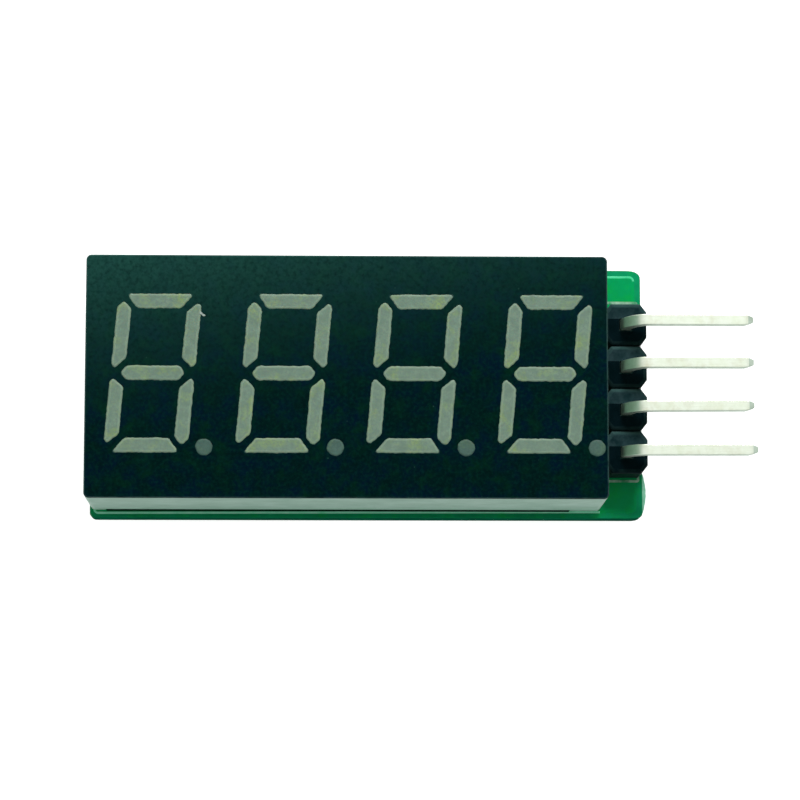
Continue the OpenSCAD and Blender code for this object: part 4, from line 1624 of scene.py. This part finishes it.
@dataclass
class HeaderPin:
    """One square pin: a leg, a bend and a run to the side, with tapered tips."""

    number: int
    tip_length: float = 0.55 * MM
    tip_side: float = 0.35 * MM
    end_length: float = 0.05 * MM
    end_cut: float = 0.08 * MM
    corner: float = 0.06 * MM
    bend_steps: int = 16
    shaded_bend: float = 0.35
    settling: float = 8.0
    shifts: Sequence[Point2] = (
        (0.09 * MM, 0.09 * MM), (0.09 * MM, 0.1 * MM), (0.04 * MM, 0.09 * MM), (0.0, 0.02 * MM))

    def build(self) -> None:
        """Sweeps the pin's square section along its path."""
        node = f"header_pin_{self.number}"
        low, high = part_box(node)
        side = high.y - low.y
        bend_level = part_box("header_insulator")[1].z
        radius = high.z - bend_level - side / 2
        leg_x, y, run_z = low.x + side / 2, (low.y + high.y) / 2, high.z - side / 2
        tip, end = self.tip_side, self.tip_side - self.end_cut
        stations = []
        for rise, width in (
                (0.0, end), (self.end_length, tip), (self.tip_length, side), (2 * self.tip_length, side)):
            stations.append((Vector((leg_x, y, low.z + rise)), Vector((0, 0, 1)), width))
        centre = Vector((leg_x + radius, y, bend_level))
        for k in range(self.bend_steps + 1):
            turn = math.pi / 2 * k / self.bend_steps
            spot = centre + Vector((-math.cos(turn) * radius, 0, math.sin(turn) * radius))
            stations.append((spot, Vector((math.sin(turn), 0, math.cos(turn))), side))
        for short, width in (
                (2 * self.tip_length, side), (self.tip_length, side),
                (0.55 * self.tip_length, side - 0.4 * (side - tip)), (self.end_length, tip), (0.0, end)):
            stations.append((Vector((high.x - short, y, run_z)), Vector((1, 0, 0)), width))
        mesh = bmesh.new()
        for spot, _, _ in stations:
            spot.y += self.shift((spot.x - leg_x) / (high.x - leg_x))
        skin(mesh, [ring_of(mesh, self.section(*station)) for station in stations])
        bmesh.ops.recalc_face_normals(mesh, faces=mesh.faces)
        # Painted shade: the flat sides and the lower part of the bend take the darker tin, standing in for
        # the dark things they reflect; the tapered ends take it too
        for face in mesh.faces:
            middle = face.calc_center_median()
            is_end = abs(middle.x - leg_x) > high.x - leg_x - 0.5 * self.tip_length
            is_shaded_bend = bend_level < middle.z < bend_level + self.shaded_bend * radius
            face.material_index = int(abs(face.normal.y) > 0.8 or is_end or is_shaded_bend)
        piece(f"{node}_bent", mesh, [Finishes.header_pin, Finishes.pin_shade_and_dark_ends], "tinned_pin", [node])

    def shift(self, way: float) -> float:
        """Returns how far the pin is bent to the side, at a share of its reach."""
        start, end = self.shifts[self.number - 1]
        return start * min(1.0, way * self.settling) + (end - start) * way

    def section(self, spot: Vector, heading: Vector, side: float) -> list[Vector]:
        """Returns the corners of the pin's section at one place.

        Args:
            spot: The section's middle.
            heading: The pin's direction there.
            side: The square's side.

        Returns:
            The corners of a square with its corners cut in two steps.
        """
        across = Vector((0, 1, 0))
        other = heading.cross(across)
        half, cut = side / 2, min(self.corner, side / 4)
        points = []
        for quarter in range(4):
            turn = math.pi / 2 * quarter
            for k in range(3):
                angle = turn + math.pi / 4 * k
                corner = Matrix.Rotation(turn, 2) @ Vector((half - cut, half - cut))
                point = corner + cut * Vector((math.cos(angle), math.sin(angle)))
                points.append(spot + across * point.x + other * point.y)
        return points


# Back of the board


@dataclass
class DriverCircuit:
    """Moulded circuit with sixteen bent leads."""

    body_edge: float = 0.06 * MM
    lead_edge: float = 0.03 * MM

    def build(self) -> None:
        """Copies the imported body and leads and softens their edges."""
        body = cad_copy("driver_body")
        edges = [e for e in body.edges if is_sharp(e, 25) and self.is_shell(e)]
        round_edges(body, edges, self.body_edge, 3)
        piece("driver_moulding", body, [Finishes.driver], "chip_plastic", ["driver_body"])
        soft_copy("driver_leads", "driver_lead_set", Finishes.lead, "lead", self.lead_edge, 2, 20)

    def is_shell(self, edge: Edge) -> bool:
        """Tells whether an edge is one of the body's long outer edges."""
        low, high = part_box("driver_body")
        return edge.calc_length() > 0.45 * MM and all(
            min(v.co.z - low.z, high.z - v.co.z) < WELD for v in edge.verts)


@dataclass
class ChipPart:
    """One chip resistor or capacitor, without its ends."""

    node: str
    finish: Finish
    slot: str
    edge: float = 0.05 * MM

    def build(self) -> None:
        """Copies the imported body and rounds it."""
        soft_copy(self.node, f"{self.node}_body", self.finish, self.slot, self.edge)


@dataclass
class ChipEnds:
    """The metal ends of like chips."""

    node: str
    edge: float = 0.08 * MM

    def build(self) -> None:
        """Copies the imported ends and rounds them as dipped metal."""
        soft_copy(self.node, f"{self.node}_dipped", Finishes.lead, "lead", self.edge, 4)


@dataclass
class SolderJoints:
    """Solder on the back of the board."""

    ring: float = 0.35 * MM
    cone: float = 0.75 * MM
    steps: int = 10

    def build(self) -> None:
        """Builds the cones at the pins and the wedges at the leads and chips."""
        pins = [f"display_pin_{i}" for i in range(1, 13)]
        self.cones("display_pin_solder", "display_pin_cones", pins, 0.25 * MM, 0.45 * MM)
        pins = [f"header_pin_{i}" for i in range(1, 5)]
        self.cones("header_pin_solder", "header_pin_cones", pins, 0.44 * MM, 0.5 * MM)
        for node, edge in (("driver_solder", 0.03 * MM), ("chip_solder", 0.06 * MM)):
            soft_copy(node, f"{node}_wedges", Finishes.solder, "solder", edge)

    def cones(self, node: str, name: str, pins: Sequence[str], inner: float, hole: float) -> None:
        """Builds the hollow cones of one kind of pin.

        Args:
            node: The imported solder.
            name: The new piece's name.
            pins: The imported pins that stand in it.
            inner: The radius at the cone's top.
            hole: The radius of the board's hole.
        """
        low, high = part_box(node)
        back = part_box("carrier_board")[0].z
        pad = hole + self.ring
        mesh = bmesh.new()
        for pin in pins:
            box_low, box_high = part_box(pin)
            half = (box_high.y - box_low.y) / 2
            centre = (box_low.x + half, box_low.y + half, back)
            profile = [(inner * 0.8, low.z - back)]
            for k in range(self.steps, -1, -1):
                turn = math.pi / 2 * k / self.steps
                outward, drop = 1 - math.sin(turn), 1 - math.cos(turn)
                profile.append((inner + (pad - inner) * outward, -self.cone * drop))
            profile += [(hole, 0.0), (hole, high.z - back), (inner * 0.8, high.z - back)]
            revolve(mesh, centre, profile, steps=32, wobble=0.06)
        piece(name, mesh, [Finishes.solder], "solder", [node])


# Table, light and camera


@dataclass
class Lamp:
    """A soft lamp that points at the module."""

    name: str
    place: Point3
    size: tuple[float, float]
    watts: float

    def build(self) -> None:
        """Hangs the lamp and turns it to the module."""
        data = bpy.data.lights.new(self.name, "AREA")
        data.shape = "RECTANGLE"
        data.size, data.size_y = self.size
        data.energy = self.watts
        lamp = placed(self.name, data)
        lamp.location = self.place
        lamp.rotation_euler = (-Vector(self.place)).to_track_quat("-Z", "Y").to_euler()


@dataclass
class Studio:
    """White light table, soft light and the camera of the photograph."""

    camera_place: Point3 = (-1.42 * MM, -24.77 * MM, 175.12 * MM)
    camera_axes: tuple[Point3, ...] = (
        (0.999675, 0.0, 0.025497), (-0.003376, 0.991195, 0.132367), (-0.025273, -0.13241, 0.990873))
    lens: float = 138.4
    sensor: float = 36.0
    table_size: float = 4.0
    table_glow: float = 0.6
    room_light: float = 0.29
    lamps: Sequence[Lamp] = field(default_factory=lambda: (
        Lamp("key_lamp", (0.07, 0.34, 0.34), (0.2, 0.14), 2.35),))

    def camera(self) -> None:
        """Places the camera as the photograph's, for a square picture."""
        data = bpy.data.cameras.new("photo_camera")
        data.lens, data.sensor_width = self.lens, self.sensor
        data.clip_start, data.clip_end = 0.01, 10.0
        camera = placed("photo_camera", data)
        turn = Matrix([Vector(axis) for axis in self.camera_axes]).transposed()
        camera.matrix_world = Matrix.Translation(self.camera_place) @ turn.to_4x4()
        bpy.context.scene.camera = camera

    def build(self) -> None:
        """Lays the table, hangs the lamps and sets the surrounding light."""
        self.table()
        self.surroundings()
        for lamp in self.lamps:
            lamp.build()
        bpy.context.scene.view_settings.view_transform = "Standard"

    def table(self) -> None:
        """Lays a white table that meets the module's lowest point."""
        half, level = self.table_size / 2, CAD_BOX[0].z
        mesh = bmesh.new()
        mesh.faces.new(ring_of(mesh, [(x, y, level) for x, y in rectangle((-half, -half), (half, half))]))
        data = mesh_data("table_top", mesh)
        data.materials.append(self.table_finish())
        top = placed("table_top", data)

    def table_finish(self) -> Material:
        """Returns a frosted white that shows as white and keeps the module's shadow.

        Returns:
            The table's material, which can be looked through from below.
        """
        made = bpy.data.materials.new("table_white")
        made.use_nodes = True
        canvas = Canvas(made.node_tree)
        white = (0.8, 0.8, 0.8, 1.0)
        paper = canvas.add("ShaderNodeBsdfDiffuse", {"Color": white})
        frost = canvas.add("ShaderNodeBsdfTranslucent", {"Color": white})
        sheet = canvas.add("ShaderNodeMixShader", {0: 0.4, 1: paper.outputs[0], 2: frost.outputs[0]})
        strength = canvas.times(seen_as_background(canvas), self.table_glow)
        glow = canvas.add("ShaderNodeEmission", {"Strength": strength})
        top = canvas.add("ShaderNodeAddShader", {0: sheet.outputs[0], 1: glow.outputs[0]})
        below = canvas.times(canvas.add("ShaderNodeNewGeometry").outputs["Backfacing"],
                             canvas.add("ShaderNodeLightPath").outputs["Is Camera Ray"])
        clear = canvas.add("ShaderNodeBsdfTransparent")
        both = canvas.add("ShaderNodeMixShader", {0: below, 1: top.outputs[0], 2: clear.outputs[0]})
        canvas.add("ShaderNodeOutputMaterial", {"Surface": both.outputs[0]})
        return made

    def surroundings(self) -> None:
        """Makes a pale room that shows as white to the camera and in reflections."""
        world = bpy.data.worlds.new("pale_room")
        world.use_nodes = True
        canvas = Canvas(world.node_tree)
        strength = canvas.span(seen_as_background(canvas), 0.0, 1.0, self.room_light, 1.0)
        room = canvas.add("ShaderNodeBackground", {"Color": (1.0, 1.0, 1.0, 1.0), "Strength": strength})
        canvas.add("ShaderNodeOutputWorld", {"Surface": room.outputs[0]})
        bpy.context.scene.world = world


def seen_as_background(canvas: Canvas) -> Socket:
    """Returns 1 for what the camera sees, straight or in a reflection, and 0 for what gives light."""
    path = canvas.add("ShaderNodeLightPath").outputs
    mirrored = canvas.sum(path["Is Glossy Ray"], path["Is Transmission Ray"], "MAXIMUM")
    return canvas.sum(path["Is Camera Ray"], mirrored, "MAXIMUM")


def main() -> None:
    """Builds the camera, then the module from its face to its back, then the studio."""
    logging.basicConfig(level=logging.INFO, format="%(message)s")
    noise.seed_set(NOISE_SEED)
    studio = Studio()
    studio.camera()
    pieces = [
        DisplayHousing(), DisplayFace(), FaceFlake(), DisplayInside(),
        CarrierBoard(), BoardBack(), HeaderInsulator(),
        *(HeaderPin(number) for number in range(1, 5)),
        DriverCircuit(),
        ChipPart("resistor_1", Finishes.resistor, "resistor"),
        ChipPart("resistor_2", Finishes.resistor, "resistor"),
        ChipPart("small_capacitor", Finishes.capacitor, "capacitor"),
        ChipPart("large_capacitor", Finishes.capacitor, "capacitor"),
        ChipEnds("resistor_ends"), ChipEnds("capacitor_ends"),
        SolderJoints()]
    for part in pieces:
        log.info("Building %s", type(part).__name__)
        part.build()
    studio.build()


if __name__ == "__main__":
    main()
